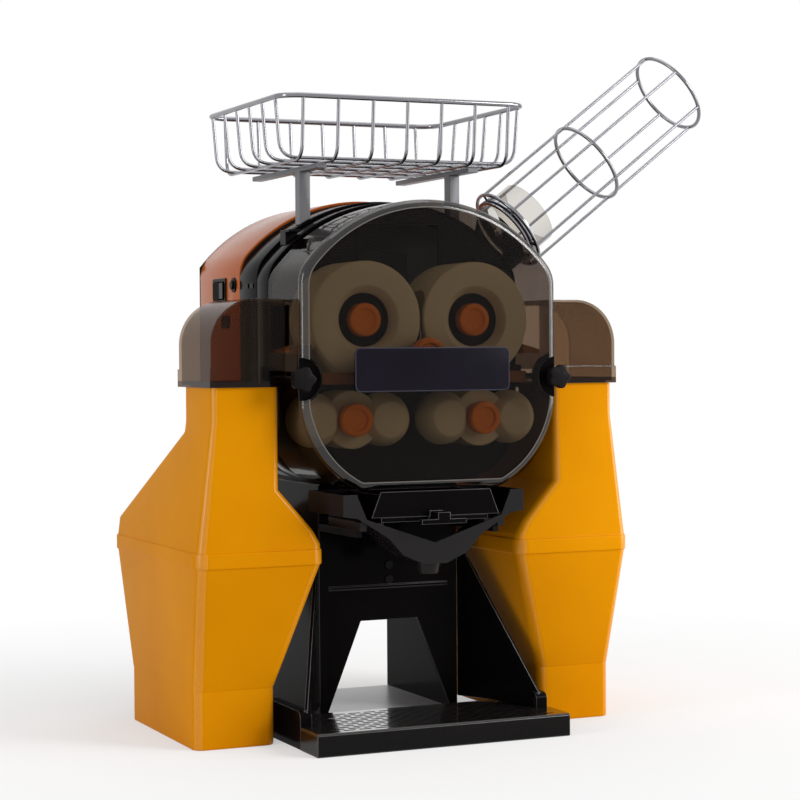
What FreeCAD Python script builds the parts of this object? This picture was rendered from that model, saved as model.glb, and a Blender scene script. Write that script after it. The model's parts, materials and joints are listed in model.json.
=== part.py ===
import FreeCAD, Part
import math
import os
import Sketcher
from FreeCAD import Placement, Rotation, Vector

# Automatic orange juicer for a counter: a squeezing chamber with four drums behind a smoked
# cover, a gear train in the rear housing, a waste bin at each side, a fruit basket and a
# wire feed tube on top, and a juice tank over a drip tray.
# Millimetres. X to the viewer's right, Y to the back, Z up. The origin lies on the counter in
# the plane of symmetry, under the chamber.

doc = FreeCAD.newDocument("OrangeJuicer")

# Driving sizes, each written once
sizes = {
    # body shells
    "body_half_width": 167, "arch_centre_z": 444, "frame_arch_radius": 206,
    "collar_arch_radius": 209.5, "housing_arch_radius": 214, "shell_wall": 3.5,
    "frame_front_y": 12.3, "frame_depth": 38.7, "collar_depth": 62, "housing_depth": 152,
    "panel_thickness": 2.5, "seat_gap": 0.2, "run_gap": 0.3, "cut_overrun": 5,
    # drums and their axes
    "upper_axis_x": 72, "upper_axis_z": 504.5, "lower_axis_x": 84.65, "axis_distance": 120,
    "drum_front_y": -66.6, "drum_back_y": 8, "upper_drum_radius": 70, "ball_radius": 33,
    "ball_orbit": 45, "ball_centre_y": -35, "ball_flat_y": -60, "mesh_gap": 0.8,
    "cup_profile_radius": 35, "cup_flat_gap": 1.2, "lower_hub_radius": 35,
    "lower_hub_front_y": -50, "recess_outer_radius": 48, "recess_inner_radius": 32,
    "recess_cone_depth": 10.6, "recess_depth": 20.6,
    # shafts, bushings and gears
    "shaft_radius": 10, "hex_radius": 9.8, "hex_gap": 0.05, "shaft_end_y": 168,
    "stud_radius": 5, "stud_length": 11, "journal_gap": 0.05, "journal_length": 16,
    "bush_radius": 16, "bush_flange_radius": 20, "bush_flange": 5, "bush_length": 15,
    "tooth_module": 3, "tooth_backlash": 0.45, "gear_width": 12, "front_gear_y": 122,
    "rear_gear_y": 140, "gear_hub_radius": 24, "pinion_shaft_radius": 7,
    "pinion_shaft_front": 4, "pinion_shaft_length": 34, "pinion_play": 0.5, "shaft_hole_gap": 2,
    # chamber plates
    "back_plate_y": 14, "back_plate_thickness": 4, "window_left_x": -48, "window_right_x": 60,
    "window_low_z": 533, "window_high_z": 624, "bulkhead_thickness": 4, "bearing_plate_y": 158,
    "bearing_plate_thickness": 4, "bearing_plate_half_width": 150, "bearing_plate_low_z": 325,
    "bearing_plate_high_z": 575, "plate_gap": 1.6, "spacer_radius": 5, "spacer_inset": 9,
    # knobs
    "knob_radius": 21.5, "knob_depth": 15, "knob_recess_radius": 13, "knob_recess": 2.5,
    "fit_gap": 0.08, "knob_well_gap": 1.5, "upper_knob_front_y": -63.5, "lower_knob_front_y": -67,
    "centre_knob_z": 463, "centre_knob_front_y": -90, "centre_knob_depth": 11,
    # knife and its bar
    "holder_low_z": 442, "holder_high_z": 468, "holder_low_half": 24, "holder_high_half": 8,
    "holder_front_y": -71, "blade_half": 0.75, "blade_high_z": 492, "blade_front_y": -62,
    "blade_back_y": 10, "bar_depth": 7, "bar_half_width": 134, "bar_low_z": 428,
    "bar_high_z": 442, "bar_tab_half": 13, "bar_tab_high_z": 477,
    "wedge_tip_x": 139.5, "wedge_tip_z": 475, "wedge_outer_x": 163.3, "wedge_top_z": 468,
    "wedge_low_z": 463.2, "wedge_inner_x": 141, "wedge_front_y": -58,
    # front cover
    "cover_front_y": -96, "cover_back_y": 12, "cover_arch_radius": 203, "cover_wall": 2.8,
    "cover_bevel": 6, "cover_bevel_depth": 5, "cover_chin_y": -68, "front_chin_start_z": 404,
    "front_chin_mid_x": 138, "front_chin_mid_z": 338, "front_chin_end_x": 91,
    "notch_z": 434.6, "notch_radius": 25, "peel_window_low_z": 466, "peel_window_high_z": 522,
    "peel_window_front_y": -56, "peel_window_back_y": 6, "label_half_width": 101,
    "label_low_z": 419, "label_high_z": 471, "label_thickness": 2.5, "label_corner": 7,
    "bracket_front_y": -88, "bracket_thickness": 4, "bracket_gap": 0.2,
    "cover_knob_radius": 15, "cover_knob_front_y": -106, "cover_neck_radius": 7,
    "cover_tail_radius": 8.6, "cover_tail_back_y": -81, "cover_slot_gap": 0.6, "cover_stud_radius": 4,
    "cover_stud_front_y": -88, "cover_knob_bore_y": -95, "bracket_rim": 4,
    "bracket_outer_x": 168, "lug_outer_x": 174.7, "lug_half_height": 14.5, "lug_depth": 12, 
    # orange chute and feed neck
    "chute_right_x": 148, "chute_right_z": 546, "chute_left_x": -44, "chute_left_z": 532,
    "chute_thickness": 2, "chute_guide_height": 60, "chute_guide_x": 60,
    "feed_y": 55, "feed_x": 178, "feed_z": 622, "feed_length": 303, "feed_radius": 55,
    "feed_wire_radius": 2, "feed_ring_radius": 2.4, "feed_foot": 48, "neck_bore": 40,
    "neck_wall": 3, "neck_top": 38, "neck_depth": 75, "neck_end_x": 150, "foot_length": 14,
    "spoke_radius": 2.4,
    # fruit basket and its posts
    "basket_half_width": 162.4, "basket_front_y": -30, "basket_back_y": 248,
    "basket_rim_z": 771.5, "basket_floor_z": 697, "basket_taper": 6, "basket_corner": 26,
    "rim_wire_radius": 3.2, "basket_wire_radius": 2.1, "wire_bend": 20, "wire_cross": 3,
    "post_x": 102, "post_y": 62, "post_width": 14, "post_depth": 16, "post_low_z": 600,
    "rail_front_y": 0, "rail_back_y": 222, "rail_height": 6,
    # waste bins
    "bin_wall": 3, "foot_inner_x": 176.3, "foot_outer_x": 277.7, "foot_front_y": -27.4,
    "foot_back_y": 223.2, "foot_height": 69, "foot_step": 3.5, "bin_top_z": 216,
    "bin_inner_x": 129.5, "bin_outer_x": 284, "bin_front_y": -64, "bin_back_y": 266,
    "rim_height": 18, "rim_lip": 2.5, "bin_corner": 12,
    # bin hoods and smoked side covers
    "hood_low_z": 246, "hood_back_low_z": 256, "hood_inner_turn_z": 305,
    "hood_back_turn_z": 372, "hood_outer_turn_z": 386, "hood_top_z": 425.7,
    "neck_inner_x": 182, "neck_outer_x": 264.5, "neck_front_y": -60.3, "neck_back_y": 41.4,
    "lid_inner_x": 175, "lid_back_y": 52, "lid_lip": 2.5, "lid_spigot": 6, "lid_wall": 2.5, "lid_top_z": 529, "lid_round": 54,
    "lid_band": 21, "lid_band_step": 1.5,
    # stand
    "foot_pad_radius": 14, "foot_pad_height": 8, "base_thickness": 6, "base_half_width": 96,
    "base_front_y": 36, "base_back_y": 250, "foot_inset": 17, "stand_half_width": 94,
    "stand_panel_y": 38, "stand_wall": 4, "opening_top_z": 132, "opening_top_half": 38,
    "opening_low_half": 85, "ledge_z": 172, "ledge_height": 4, "ledge_depth": 3,
    "ledge_half": 80, "stand_screw_z": 200.4, "stand_screw_pitch": 18, "screw_radius": 5.5,
    "screw_head": 2, "wing_outer_x": 153, "wing_front_y": -70, "wing_low_z": 30,
    "wing_toe_z": 45, "wing_high_z": 216, "wing_top_run": 9, "fence_inner_x": 148.5,
    "fence_outer_x": 163.5, "fence_front_y": -73, "fence_height": 45, "fence_round": 9,
    # juice tank, its runners and the filter drawer
    "tank_front_y": -100, "tank_back_y": 10, "tank_rim_z": 299, "tank_rim_half": 118,
    "tank_shoulder_half": 100, "tank_shoulder_z": 271, "tank_bowl_half": 60,
    "tank_bowl_z": 246, "tank_curve_x": 42, "tank_curve_z": 226, "tank_floor_half": 15,
    "tank_floor_z": 214, "tank_wall": 2.5, "tank_heel_y": -55, "tank_heel_z": 262,
    "vee_tip_z": 239, "vee_half": 88, "vee_end_z": 269, "spout_y": -79, "spout_top": 15.5,
    "spout_radius": 12, "spout_bore": 9, "spout_length": 13, "runner_inner_x": 86,
    "runner_width": 8, "runner_front_y": -80, "runner_low_z": 247, "runner_height": 8,
    "skid_front_y": -94, "skid_back_y": 5, "skid_top_z": 266,
    "rail_inner_x": 66, "rail_outer_x": 83, "rail_low_z": 261.7, "rail_thick": 3,
    "drawer_plate": 3, "drawer_top_half": 71.5, "drawer_low_half": 83.5,
    "drawer_top_z": 301.5, "drawer_low_z": 271, "drawer_box_half": 70, "drawer_box_back_y": 3,
    "drawer_box_high_z": 298, "drawer_wall": 2, "mesh_thickness": 1.2, "handle_half": 29,
    "handle_front_y": -126, "handle_depth": 8, "handle_height": 6, "handle_stem_half": 8,
    # drip tray and its grid
    "tray_half_width": 165, "tray_front_y": -130, "tray_step_y": -76, "tray_rear_half": 146,
    "tray_back_y": 3, "tray_height": 26, "tray_wall": 3, "grid_thickness": 1.6,
    "grid_inset": 1, "slot_length": 15, "slot_width": 5, "slot_pitch_x": 20,
    "slot_pitch_y": 9.5, "grid_margin": 8,
    # switches and small parts on the left side
    "switch_y": 185.5, "switch_z": 545, "switch_half_length": 18.5, "switch_half_height": 10,
    "switch_proud": 4, "switch_depth": 12, "bezel_width": 4, "bezel_proud": 2,
    "bezel_opening_gap": 1.6, "rocker_pin_radius": 1, "rocker_pin_reach": 2, "button_y": 133, "button_z": 551, "button_radius": 5.5,
    "button_depth": 14, "button_proud": 5, "button_ring": 3.5,
    "window_y": 165, "window_z": 505, "window_half_length": 14, "window_half_height": 8,
    "window_thickness": 1.5, "lamp_y": 86, "lamp_z": 548, "lamp_half_length": 5.5,
    "lamp_half_height": 2.8, "lamp_pitch": 9, "lamp_thickness": 1.2,
    "sensor_x": -131, "sensor_width": 16, "sensor_depth": 18, "sensor_height": 12,
    "sensor_y": 26, "sensor_flap": 3, "sensor_flap_run": 12,
    # rear panel, inlet, motor and control box
    "vent_half_length": 45, "vent_height": 4, "vent_pitch": 11, "vent_low_z": 470,
    "inlet_x": 95, "inlet_z": 352, "inlet_half_width": 14, "inlet_half_height": 12,
    "inlet_depth": 16, "inlet_proud": 4, "inlet_wall": 3, "inlet_pin_radius": 1.6,
    "inlet_pin_length": 9, "inlet_pin_pitch": 7, "panel_screw_radius": 4,
    "gearbox_half_width": 36, "gearbox_low": 34, "gearbox_high": 34, "gearbox_depth": 30,
    "motor_radius": 33, "motor_length": 60, "motor_bore_depth": 14,
    "control_x": 48, "control_width": 90, "control_low_z": 385, "control_height": 70,
    "control_depth": 50,
}

sheet = doc.addObject("Spreadsheet::Sheet", "Sizes")
for row, (alias, value) in enumerate(sizes.items(), start=1):
    sheet.set(f"A{row}", alias.replace("_", " "))
    sheet.set(f"B{row}", str(value))
    sheet.setAlias(f"B{row}", alias)
doc.recompute()

# Counts, angles and tooth numbers
ball_count = 2
front_teeth = 40
rear_teeth = 48
pinion_teeth = 16
pinion_bearing_degrees = 26
feed_slope_degrees = 37.66
feed_bars = 6
feed_middle_share = 0.48
front_wires = 8
side_wires = 7
vent_count = 5
tooth_tip_share = 1.0
tooth_root_share = 1.25
pressure_degrees = 20
sweep_steps = 180


class Size:
    """A length as a number and as the formula that a feature's size is bound to."""

    def __init__(self, value, formula):
        self.value = value
        self.formula = formula

    def __add__(self, other):
        other = length(other)
        return Size(self.value + other.value, f"({self.formula} + {other.formula})")

    def __sub__(self, other):
        other = length(other)
        return Size(self.value - other.value, f"({self.formula} - {other.formula})")

    def __mul__(self, share):
        return Size(self.value * share, f"({self.formula} * {share:.9f})")

    def __truediv__(self, share):
        return Size(self.value / share, f"({self.formula} / {share:.9f})")

    def __neg__(self):
        return Size(-self.value, f"(-1 * {self.formula})")

    __rmul__ = __mul__


def length(size):
    return size if isinstance(size, Size) else Size(size, str(size))


def leg(long_side, short_side):
    """The other short side of a right triangle."""
    return Size(math.sqrt(long_side.value ** 2 - short_side.value ** 2),
                f"sqrt({long_side.formula}^2 - {short_side.formula}^2)")


class Book:
    def __getattr__(self, alias):
        return Size(float(sizes[alias]), f"Sizes.{alias}")


s = Book()
nothing = length(0)

parts = {}


def keep(node, feature):
    """Names a finished sub-part after the file that it is written to."""
    feature.Label = node
    parts[node] = feature
    return feature


# Outlines: a list of corners, where an item with four entries is an arc that ends at that
# corner, with its radius and 1 for an arc that turns left or -1 for one that turns right
def arc_centre(start, end, radius, turn):
    chord = end - start
    half = chord.Length / 2
    rise = math.sqrt(max(radius ** 2 - half ** 2, 0))
    side = Vector(-chord.y, chord.x, 0).normalize()
    return start + chord / 2 + side * rise * turn


def corner_point(corner):
    return Vector(length(corner[0]).value, length(corner[1]).value, 0)


def outline_edges(corners):
    """The outline's edges in its own plane, as lines and arcs."""
    edges = []
    for index, corner in enumerate(corners):
        start = corner_point(corners[index - 1])
        end = corner_point(corner)
        if len(corner) == 2:
            edges.append(Part.LineSegment(start, end))
            continue
        radius, turn = corner[2].value, corner[3]
        centre = arc_centre(start, end, radius, turn)
        middle = start + (end - start) / 2 - centre
        if middle.Length < radius * 1e-6:
            middle = Vector((end - start).y, -(end - start).x, 0) * turn
        edges.append(Part.Arc(start, centre + middle.normalize() * radius, end))
    return edges


turned = {
    "XZ": Placement(Vector(), Rotation(Vector(1, 0, 0), 90)),
    "XY": Placement(),
    "YZ": Placement(Vector(), Rotation(Vector(1, 1, 1), 120)),
}
pad_way = {"XZ": Vector(0, 1, 0), "XY": Vector(0, 0, 1), "YZ": Vector(1, 0, 0)}


def outline_wire(corners, plane, at):
    """The outline as a wire on the named plane, moved along the plane's own axis."""
    wire = Part.Wire([edge.toShape() for edge in outline_edges(corners)])
    wire.Placement = turned[plane]
    wire.translate(pad_way[plane] * length(at).value)
    return wire


def slab(corners, plane, low, high):
    """A solid between two planes with the outline as its section."""
    way = pad_way[plane] * (length(high).value - length(low).value)
    return Part.Face(outline_wire(corners, plane, low)).extrude(way)


def origin_plane(body, role):
    return [plane for plane in body.Origin.OriginFeatures if plane.Role == role][0]


def draw_outline(sketch, corners):
    """Adds the outline to the sketch, each corner bound to its two formulas."""
    first = sketch.GeometryCount
    arcs = []
    for index, edge in enumerate(outline_edges(corners)):
        if len(corners[index]) == 4:
            arc = Part.ArcOfCircle(edge.value(edge.FirstParameter),
                                   edge.value((edge.FirstParameter + edge.LastParameter) / 2),
                                   edge.value(edge.LastParameter))
            sketch.addGeometry(arc)
            start = corner_point(corners[index - 1])
            drawn = sketch.Geometry[-1]
            forward = (drawn.StartPoint - start).Length < (drawn.EndPoint - start).Length
            arcs.append((first + index, corners[index][2], forward))
        else:
            sketch.addGeometry(edge)
    ends = {index: forward for index, radius, forward in arcs}
    count = len(corners)
    for index, corner in enumerate(corners):
        this_edge, next_edge = first + index, first + (index + 1) % count
        this_end = 2 if ends.get(this_edge, True) else 1
        next_start = 1 if ends.get(next_edge, True) else 2
        sketch.addConstraint(Sketcher.Constraint("Coincident", this_edge, this_end,
                                                 next_edge, next_start))
        for axis, size in (("DistanceX", corner[0]), ("DistanceY", corner[1])):
            size = length(size)
            made = sketch.addConstraint(Sketcher.Constraint(axis, this_edge, this_end, size.value))
            if size.formula != "0":
                sketch.setExpression(f"Constraints[{made}]", size.formula)
    for edge, radius, forward in arcs:
        made = sketch.addConstraint(Sketcher.Constraint("Radius", edge, radius.value))
        sketch.setExpression(f"Constraints[{made}]", radius.formula)


def draw_circle(sketch, x, y, radius):
    """Adds a circle, its centre and radius bound to their formulas."""
    x, y = length(x), length(y)
    sketch.addGeometry(Part.Circle(Vector(x.value, y.value, 0), Vector(0, 0, 1), radius.value))
    circle = sketch.GeometryCount - 1
    for axis, size in (("DistanceX", x), ("DistanceY", y)):
        made = sketch.addConstraint(Sketcher.Constraint(axis, circle, 3, size.value))
        if size.formula != "0":
            sketch.setExpression(f"Constraints[{made}]", size.formula)
    made = sketch.addConstraint(Sketcher.Constraint("Radius", circle, radius.value))
    sketch.setExpression(f"Constraints[{made}]", radius.formula)


def sketch_on(body, plane, at, outlines, circles):
    sketch = body.newObject("Sketcher::SketchObject", f"{body.Label}_sketch")
    sketch.AttachmentSupport = [(origin_plane(body, f"{plane}_Plane"), "")]
    sketch.MapMode = "FlatFace"
    side = -length(at) if plane == "XZ" else length(at)
    sketch.setExpression("AttachmentOffset.Base.z", side.formula)
    for corners in outlines:
        draw_outline(sketch, corners)
    for x, y, radius in circles:
        draw_circle(sketch, x, y, radius)
    return sketch


def padded(node, plane, low, high, outlines, circles=()):
    """A body padded from a sketch on one of its origin planes, between two stations."""
    body = doc.addObject("PartDesign::Body", node)
    body.Label = node
    sketch = sketch_on(body, plane, low, outlines, circles)
    pad = body.newObject("PartDesign::Pad", f"{node}_pad")
    pad.Profile = sketch
    pad.Reversed = plane == "XZ"
    pad.setExpression("Length", (length(high) - length(low)).formula)
    sketch.Visibility = False
    return body


def pocketed(body, plane, low, high, outlines=(), circles=()):
    """Cuts a sketch out of the body between two stations and checks that it took material."""
    doc.recompute()
    before = body.Shape.Volume
    sketch = sketch_on(body, plane, low, outlines, circles)
    pocket = body.newObject("PartDesign::Pocket", f"{body.Label}_pocket")
    pocket.Profile = sketch
    pocket.Reversed = plane != "XZ"
    pocket.setExpression("Length", (length(high) - length(low)).formula)
    doc.recompute()
    if not body.Shape.Volume < before:
        raise ValueError(f"{body.Label}: a pocket took nothing")
    return body


def bind_base(feature, x, y, z):
    for axis, size in zip("xyz", (x, y, z)):
        feature.setExpression(f"Placement.Base.{axis}", length(size).formula)


def block(name, x0, x1, y0, y1, z0, z1):
    """A box between two stations on each axis."""
    feature = doc.addObject("Part::Box", name)
    for side, low, high in (("Length", x0, x1), ("Width", y0, y1), ("Height", z0, z1)):
        feature.setExpression(side, (length(high) - length(low)).formula)
    bind_base(feature, x0, y0, z0)
    return feature


spin = {"X": Rotation(Vector(0, 1, 0), 90), "Y": Rotation(Vector(1, 0, 0), -90), "Z": Rotation()}


def rod(name, axis, radius, low, high, across):
    """A cylinder along an axis between two stations; across gives its two other places."""
    feature = doc.addObject("Part::Cylinder", name)
    feature.setExpression("Radius", length(radius).formula)
    feature.setExpression("Height", (length(high) - length(low)).formula)
    feature.Placement = Placement(Vector(), spin[axis])
    base = {"X": (low, across[0], across[1]), "Y": (across[0], low, across[1]),
            "Z": (across[0], across[1], low)}[axis]
    bind_base(feature, *base)
    return feature


def taper(name, axis, low_radius, high_radius, low, high, across):
    feature = doc.addObject("Part::Cone", name)
    feature.setExpression("Radius1", length(low_radius).formula)
    feature.setExpression("Radius2", length(high_radius).formula)
    feature.setExpression("Height", (length(high) - length(low)).formula)
    feature.Placement = Placement(Vector(), spin[axis])
    base = {"X": (low, across[0], across[1]), "Y": (across[0], low, across[1]),
            "Z": (across[0], across[1], low)}[axis]
    bind_base(feature, *base)
    return feature


def fused(name, features):
    feature = doc.addObject("Part::MultiFuse", name)
    feature.Shapes = features
    return feature


def less(name, base, tool):
    feature = doc.addObject("Part::Cut", name)
    feature.Base = base
    feature.Tool = tool
    return feature


def group(name, features):
    """Separate solids that share a node."""
    feature = doc.addObject("Part::Compound", name)
    feature.Links = features
    return feature


def shaped(name, shape):
    """A sub-part whose surface needs lofts, sweeps or patterns of its own."""
    feature = doc.addObject("Part::Feature", name)
    feature.Shape = shape
    feature.Placement = Placement()
    return feature


def mirrored(shape):
    return shape.mirror(Vector(), Vector(1, 0, 0))


def one_solid(shape):
    solids = shape.Solids
    if len(solids) != 1:
        raise ValueError(f"expected one solid, found {len(solids)}")
    return solids[0]


# Places that follow from the driving sizes
drop = leg(s.axis_distance, s.lower_axis_x - s.upper_axis_x)
lower_axis_z = s.upper_axis_z - drop
chin_radius = s.body_half_width - s.lower_axis_x
body_low_z = lower_axis_z - chin_radius
frame_back_y = s.frame_front_y + s.frame_depth
collar_back_y = frame_back_y + s.collar_depth
housing_back_y = collar_back_y + s.housing_depth
panel_back_y = housing_back_y + s.panel_thickness
neck_radius = s.neck_bore + s.neck_wall
neck_hole_radius = neck_radius + s.seat_gap
axes = {
    "upper_left": (-s.upper_axis_x, s.upper_axis_z),
    "upper_right": (s.upper_axis_x, s.upper_axis_z),
    "lower_left": (-s.lower_axis_x, lower_axis_z),
    "lower_right": (s.lower_axis_x, lower_axis_z),
}


def body_outline(arch_radius, inset):
    """The chamber's section: an arch, straight sides, and a chin round each lower axis."""
    half = s.body_half_width - inset
    arch = arch_radius - inset
    chin = chin_radius - inset
    shoulder = s.arch_centre_z + leg(arch, half)
    low = body_low_z + inset
    return [
        (s.lower_axis_x, low),
        (half, lower_axis_z, chin, 1),
        (half, shoulder),
        (-half, shoulder, arch, 1),
        (-half, lower_axis_z),
        (-s.lower_axis_x, low, chin, 1),
    ]


def side_box(corner_sets):
    return [[(x0, z0), (x1, z0), (x1, z1), (x0, z1)] for x0, x1, z0, z1 in corner_sets]


# Body shells
def make_front_frame():
    """The black frame that the smoked cover closes against, with its two long cover studs."""
    ring = padded("frame_ring", "XZ", s.frame_front_y, frame_back_y,
                  [body_outline(s.frame_arch_radius, nothing),
                   body_outline(s.frame_arch_radius, s.shell_wall)])
    wall_x = s.body_half_width - s.shell_wall
    lugs = []
    for low_x, high_x in ((-s.lug_outer_x, -wall_x), (wall_x, s.lug_outer_x)):
        lugs.append(block("frame_lug", low_x, high_x, s.frame_front_y,
                          s.frame_front_y + s.lug_depth,
                          s.notch_z - s.lug_half_height, s.notch_z + s.lug_half_height))
    studs = [rod("cover_stud", "Y", s.cover_stud_radius, s.cover_stud_front_y,
                 s.frame_front_y + s.lug_depth, (x, s.notch_z))
             for x in (-s.body_half_width, s.body_half_width)]
    solid_frame = fused("frame_blank", [ring] + lugs + studs)
    hole = shaped("frame_hole", feed_bar(neck_hole_radius, -2 * s.neck_depth, nothing))
    keep("front_frame", less("front_frame", solid_frame, hole))


def feed_way():
    slope = math.radians(feed_slope_degrees)
    return Vector(math.cos(slope), 0, math.sin(slope))


def feed_point(along):
    """A point on the feed tube's axis, measured upwards from its lower ring."""
    foot = Vector(s.feed_x.value, s.feed_y.value, s.feed_z.value)
    return foot + feed_way() * length(along).value


def feed_bar(radius, low, high):
    """A round bar on the feed tube's axis."""
    return Part.makeCylinder(length(radius).value, length(high).value - length(low).value,
                             feed_point(low), feed_way())


def make_collar():
    """The black collar over the orange inlet, opened for the feed neck."""
    ring = padded("collar_ring", "XZ", frame_back_y, collar_back_y,
                  [body_outline(s.collar_arch_radius, nothing),
                   body_outline(s.collar_arch_radius, s.shell_wall)])
    hole = shaped("collar_hole", feed_bar(neck_hole_radius, -2 * s.neck_depth, nothing))
    keep("collar", less("collar", ring, hole))


def rocker_pins(radius, reach):
    """The rocker's two pivot pins, which reach into the housing's wall."""
    middle = -s.body_half_width + s.shell_wall / 2
    tip = s.switch_half_height + s.bezel_opening_gap + reach
    place = (middle, s.switch_y)
    return [rod("rocker_pin", "Z", radius, s.switch_z - tip, s.switch_z, place),
            rod("rocker_pin", "Z", radius, s.switch_z, s.switch_z + tip, place)]


def make_housing():
    """The orange rear housing, with openings for the switch and the button."""
    ring = padded("rear_housing", "XZ", collar_back_y, housing_back_y,
                  [body_outline(s.housing_arch_radius, nothing),
                   body_outline(s.housing_arch_radius, s.shell_wall)])
    opening_half = s.switch_half_length + s.bezel_opening_gap
    opening_height = s.switch_half_height + s.bezel_opening_gap
    outer = -s.body_half_width - s.cut_overrun
    pocketed(ring, "YZ", outer, -s.body_half_width + s.shell_wall + s.cut_overrun,
             side_box([(s.switch_y - opening_half, s.switch_y + opening_half,
                        s.switch_z - opening_height, s.switch_z + opening_height)]),
             [(s.button_y, s.button_z, s.button_radius + s.fit_gap)])
    sockets = group("pin_sockets", rocker_pins(s.rocker_pin_radius + s.fit_gap,
                                               s.rocker_pin_reach + s.seat_gap))
    keep("rear_housing", less("rear_housing", ring, sockets))


def make_rear_panel():
    """The back panel, with louvre slots and an opening for the mains inlet."""
    panel = padded("rear_panel", "XZ", housing_back_y, panel_back_y,
                   [body_outline(s.housing_arch_radius, nothing)])
    cuts = [(-s.vent_half_length, s.vent_half_length, s.vent_low_z + s.vent_pitch * number,
             s.vent_low_z + s.vent_pitch * number + s.vent_height)
            for number in range(vent_count)]
    cuts.append((s.inlet_x - s.inlet_half_width - s.seat_gap,
                 s.inlet_x + s.inlet_half_width + s.seat_gap,
                 s.inlet_z - s.inlet_half_height - s.seat_gap,
                 s.inlet_z + s.inlet_half_height + s.seat_gap))
    pocketed(panel, "XZ", housing_back_y - s.cut_overrun, panel_back_y + s.cut_overrun,
             side_box(cuts))
    keep("rear_panel", panel)


def make_plates():
    """The chamber's back plate, the bulkhead and the plate that carries the rear bearings."""
    inset = s.shell_wall + s.seat_gap
    plate_back = s.back_plate_y + s.back_plate_thickness
    plate = padded("back_plate_blank", "XZ", s.back_plate_y, plate_back,
                   [body_outline(s.frame_arch_radius, inset)],
                   [(x, z, s.bush_radius + s.seat_gap) for x, z in axes.values()])
    pocketed(plate, "XZ", s.back_plate_y - s.cut_overrun, plate_back + s.cut_overrun,
             side_box([(s.window_left_x, s.window_right_x, s.window_low_z, s.window_high_z)]))
    clear = [rod("stud_clearance", "Y", s.cover_stud_radius + s.seat_gap,
                 s.back_plate_y - s.cut_overrun, plate_back + s.cut_overrun, (x, s.notch_z))
             for x in (-s.body_half_width, s.body_half_width)]
    clear.append(shaped("back_plate_hole", feed_bar(neck_hole_radius, -2 * s.neck_depth, nothing)))
    keep("chamber_back_plate",
         less("chamber_back_plate", plate, group("back_plate_clearance", clear)))

    shaft_hole = s.shaft_radius + s.shaft_hole_gap
    bulkhead_front = collar_back_y + s.seat_gap
    bulkhead = padded("rear_bulkhead", "XZ", bulkhead_front,
                      bulkhead_front + s.bulkhead_thickness,
                      [body_outline(s.housing_arch_radius, inset)],
                      [(x, z, shaft_hole) for x, z in axes.values()])

    # The plate's lower corners stay inside the housing's chins, and so do its lower spacers.
    half = s.bearing_plate_half_width
    reach = chin_radius - s.shell_wall - s.plate_gap
    corner_z = lower_axis_z - leg(reach, half - s.lower_axis_x)
    toe_x = s.lower_axis_x + leg(reach, lower_axis_z - s.bearing_plate_low_z)
    gear_tip = s.tooth_module * (front_teeth / 2 + 1)
    spacer_share = (reach.value + gear_tip.value) / (2 * reach.value)
    spacer_x = s.lower_axis_x + ((half + toe_x) / 2 - s.lower_axis_x) * spacer_share
    spacer_z = lower_axis_z - (lower_axis_z - (corner_z + s.bearing_plate_low_z) / 2) * spacer_share
    bearing_back = s.bearing_plate_y + s.bearing_plate_thickness
    pinion_x, pinion_z = pinion_axis()
    plate = padded("bearing_plate", "XZ", s.bearing_plate_y, bearing_back,
                   [[(-toe_x, s.bearing_plate_low_z), (toe_x, s.bearing_plate_low_z),
                     (half, corner_z), (half, s.bearing_plate_high_z),
                     (-half, s.bearing_plate_high_z), (-half, corner_z)]],
                   [(x, z, s.bush_radius + s.seat_gap) for x, z in axes.values()]
                   + [(pinion_x, pinion_z, s.pinion_shaft_radius + s.shaft_hole_gap)])

    upper_x = half - s.spacer_inset
    upper_z = s.bearing_plate_high_z - s.spacer_inset
    spacers = [rod("plate_spacer", "Y", s.spacer_radius, bulkhead_front + s.bulkhead_thickness,
                   s.bearing_plate_y, place)
               for place in ((-upper_x, upper_z), (upper_x, upper_z),
                             (-spacer_x, spacer_z), (spacer_x, spacer_z))]
    keep("gear_plates", fused("gear_plates", [bulkhead, plate] + spacers))


def pinion_axis():
    """The pinion meshes with the upper left gear, below it and towards the middle."""
    reach = s.tooth_module * ((rear_teeth + pinion_teeth) / 2) + s.pinion_play
    angle = math.radians(pinion_bearing_degrees)
    return (-s.upper_axis_x + reach * math.sin(angle), s.upper_axis_z - reach * math.cos(angle))


def make_bushings():
    """Flanged bushings in the back plate and plain ones in the bearing plate."""
    bore = s.shaft_radius + s.journal_gap
    front, rear = [], []
    for x, z in axes.values():
        flange_front = s.back_plate_y - s.bush_flange
        sleeve = fused("front_bush_blank", [
            rod("bush_flange", "Y", s.bush_flange_radius, flange_front, s.back_plate_y, (x, z)),
            rod("bush_sleeve", "Y", s.bush_radius, flange_front, flange_front + s.bush_length,
                (x, z))])
        hole = rod("bush_bore", "Y", bore, flange_front - s.cut_overrun,
                   flange_front + s.bush_length + s.cut_overrun, (x, z))
        front.append(less("front_bush", sleeve, hole))
        middle = s.bearing_plate_y + s.bearing_plate_thickness / 2
        low, high = middle - s.bush_flange, middle + s.bush_flange
        rear.append(less("rear_bush",
                         rod("rear_bush_blank", "Y", s.bush_radius, low, high, (x, z)),
                         rod("rear_bush_bore", "Y", bore, low - s.cut_overrun,
                             high + s.cut_overrun, (x, z))))
    keep("shaft_bushings", group("shaft_bushings", front + rear))


# Drums, shafts and gears
def centre_line_degrees(start, end):
    return math.degrees(math.atan2(end[1].value - start[1].value, end[0].value - start[0].value))


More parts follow.
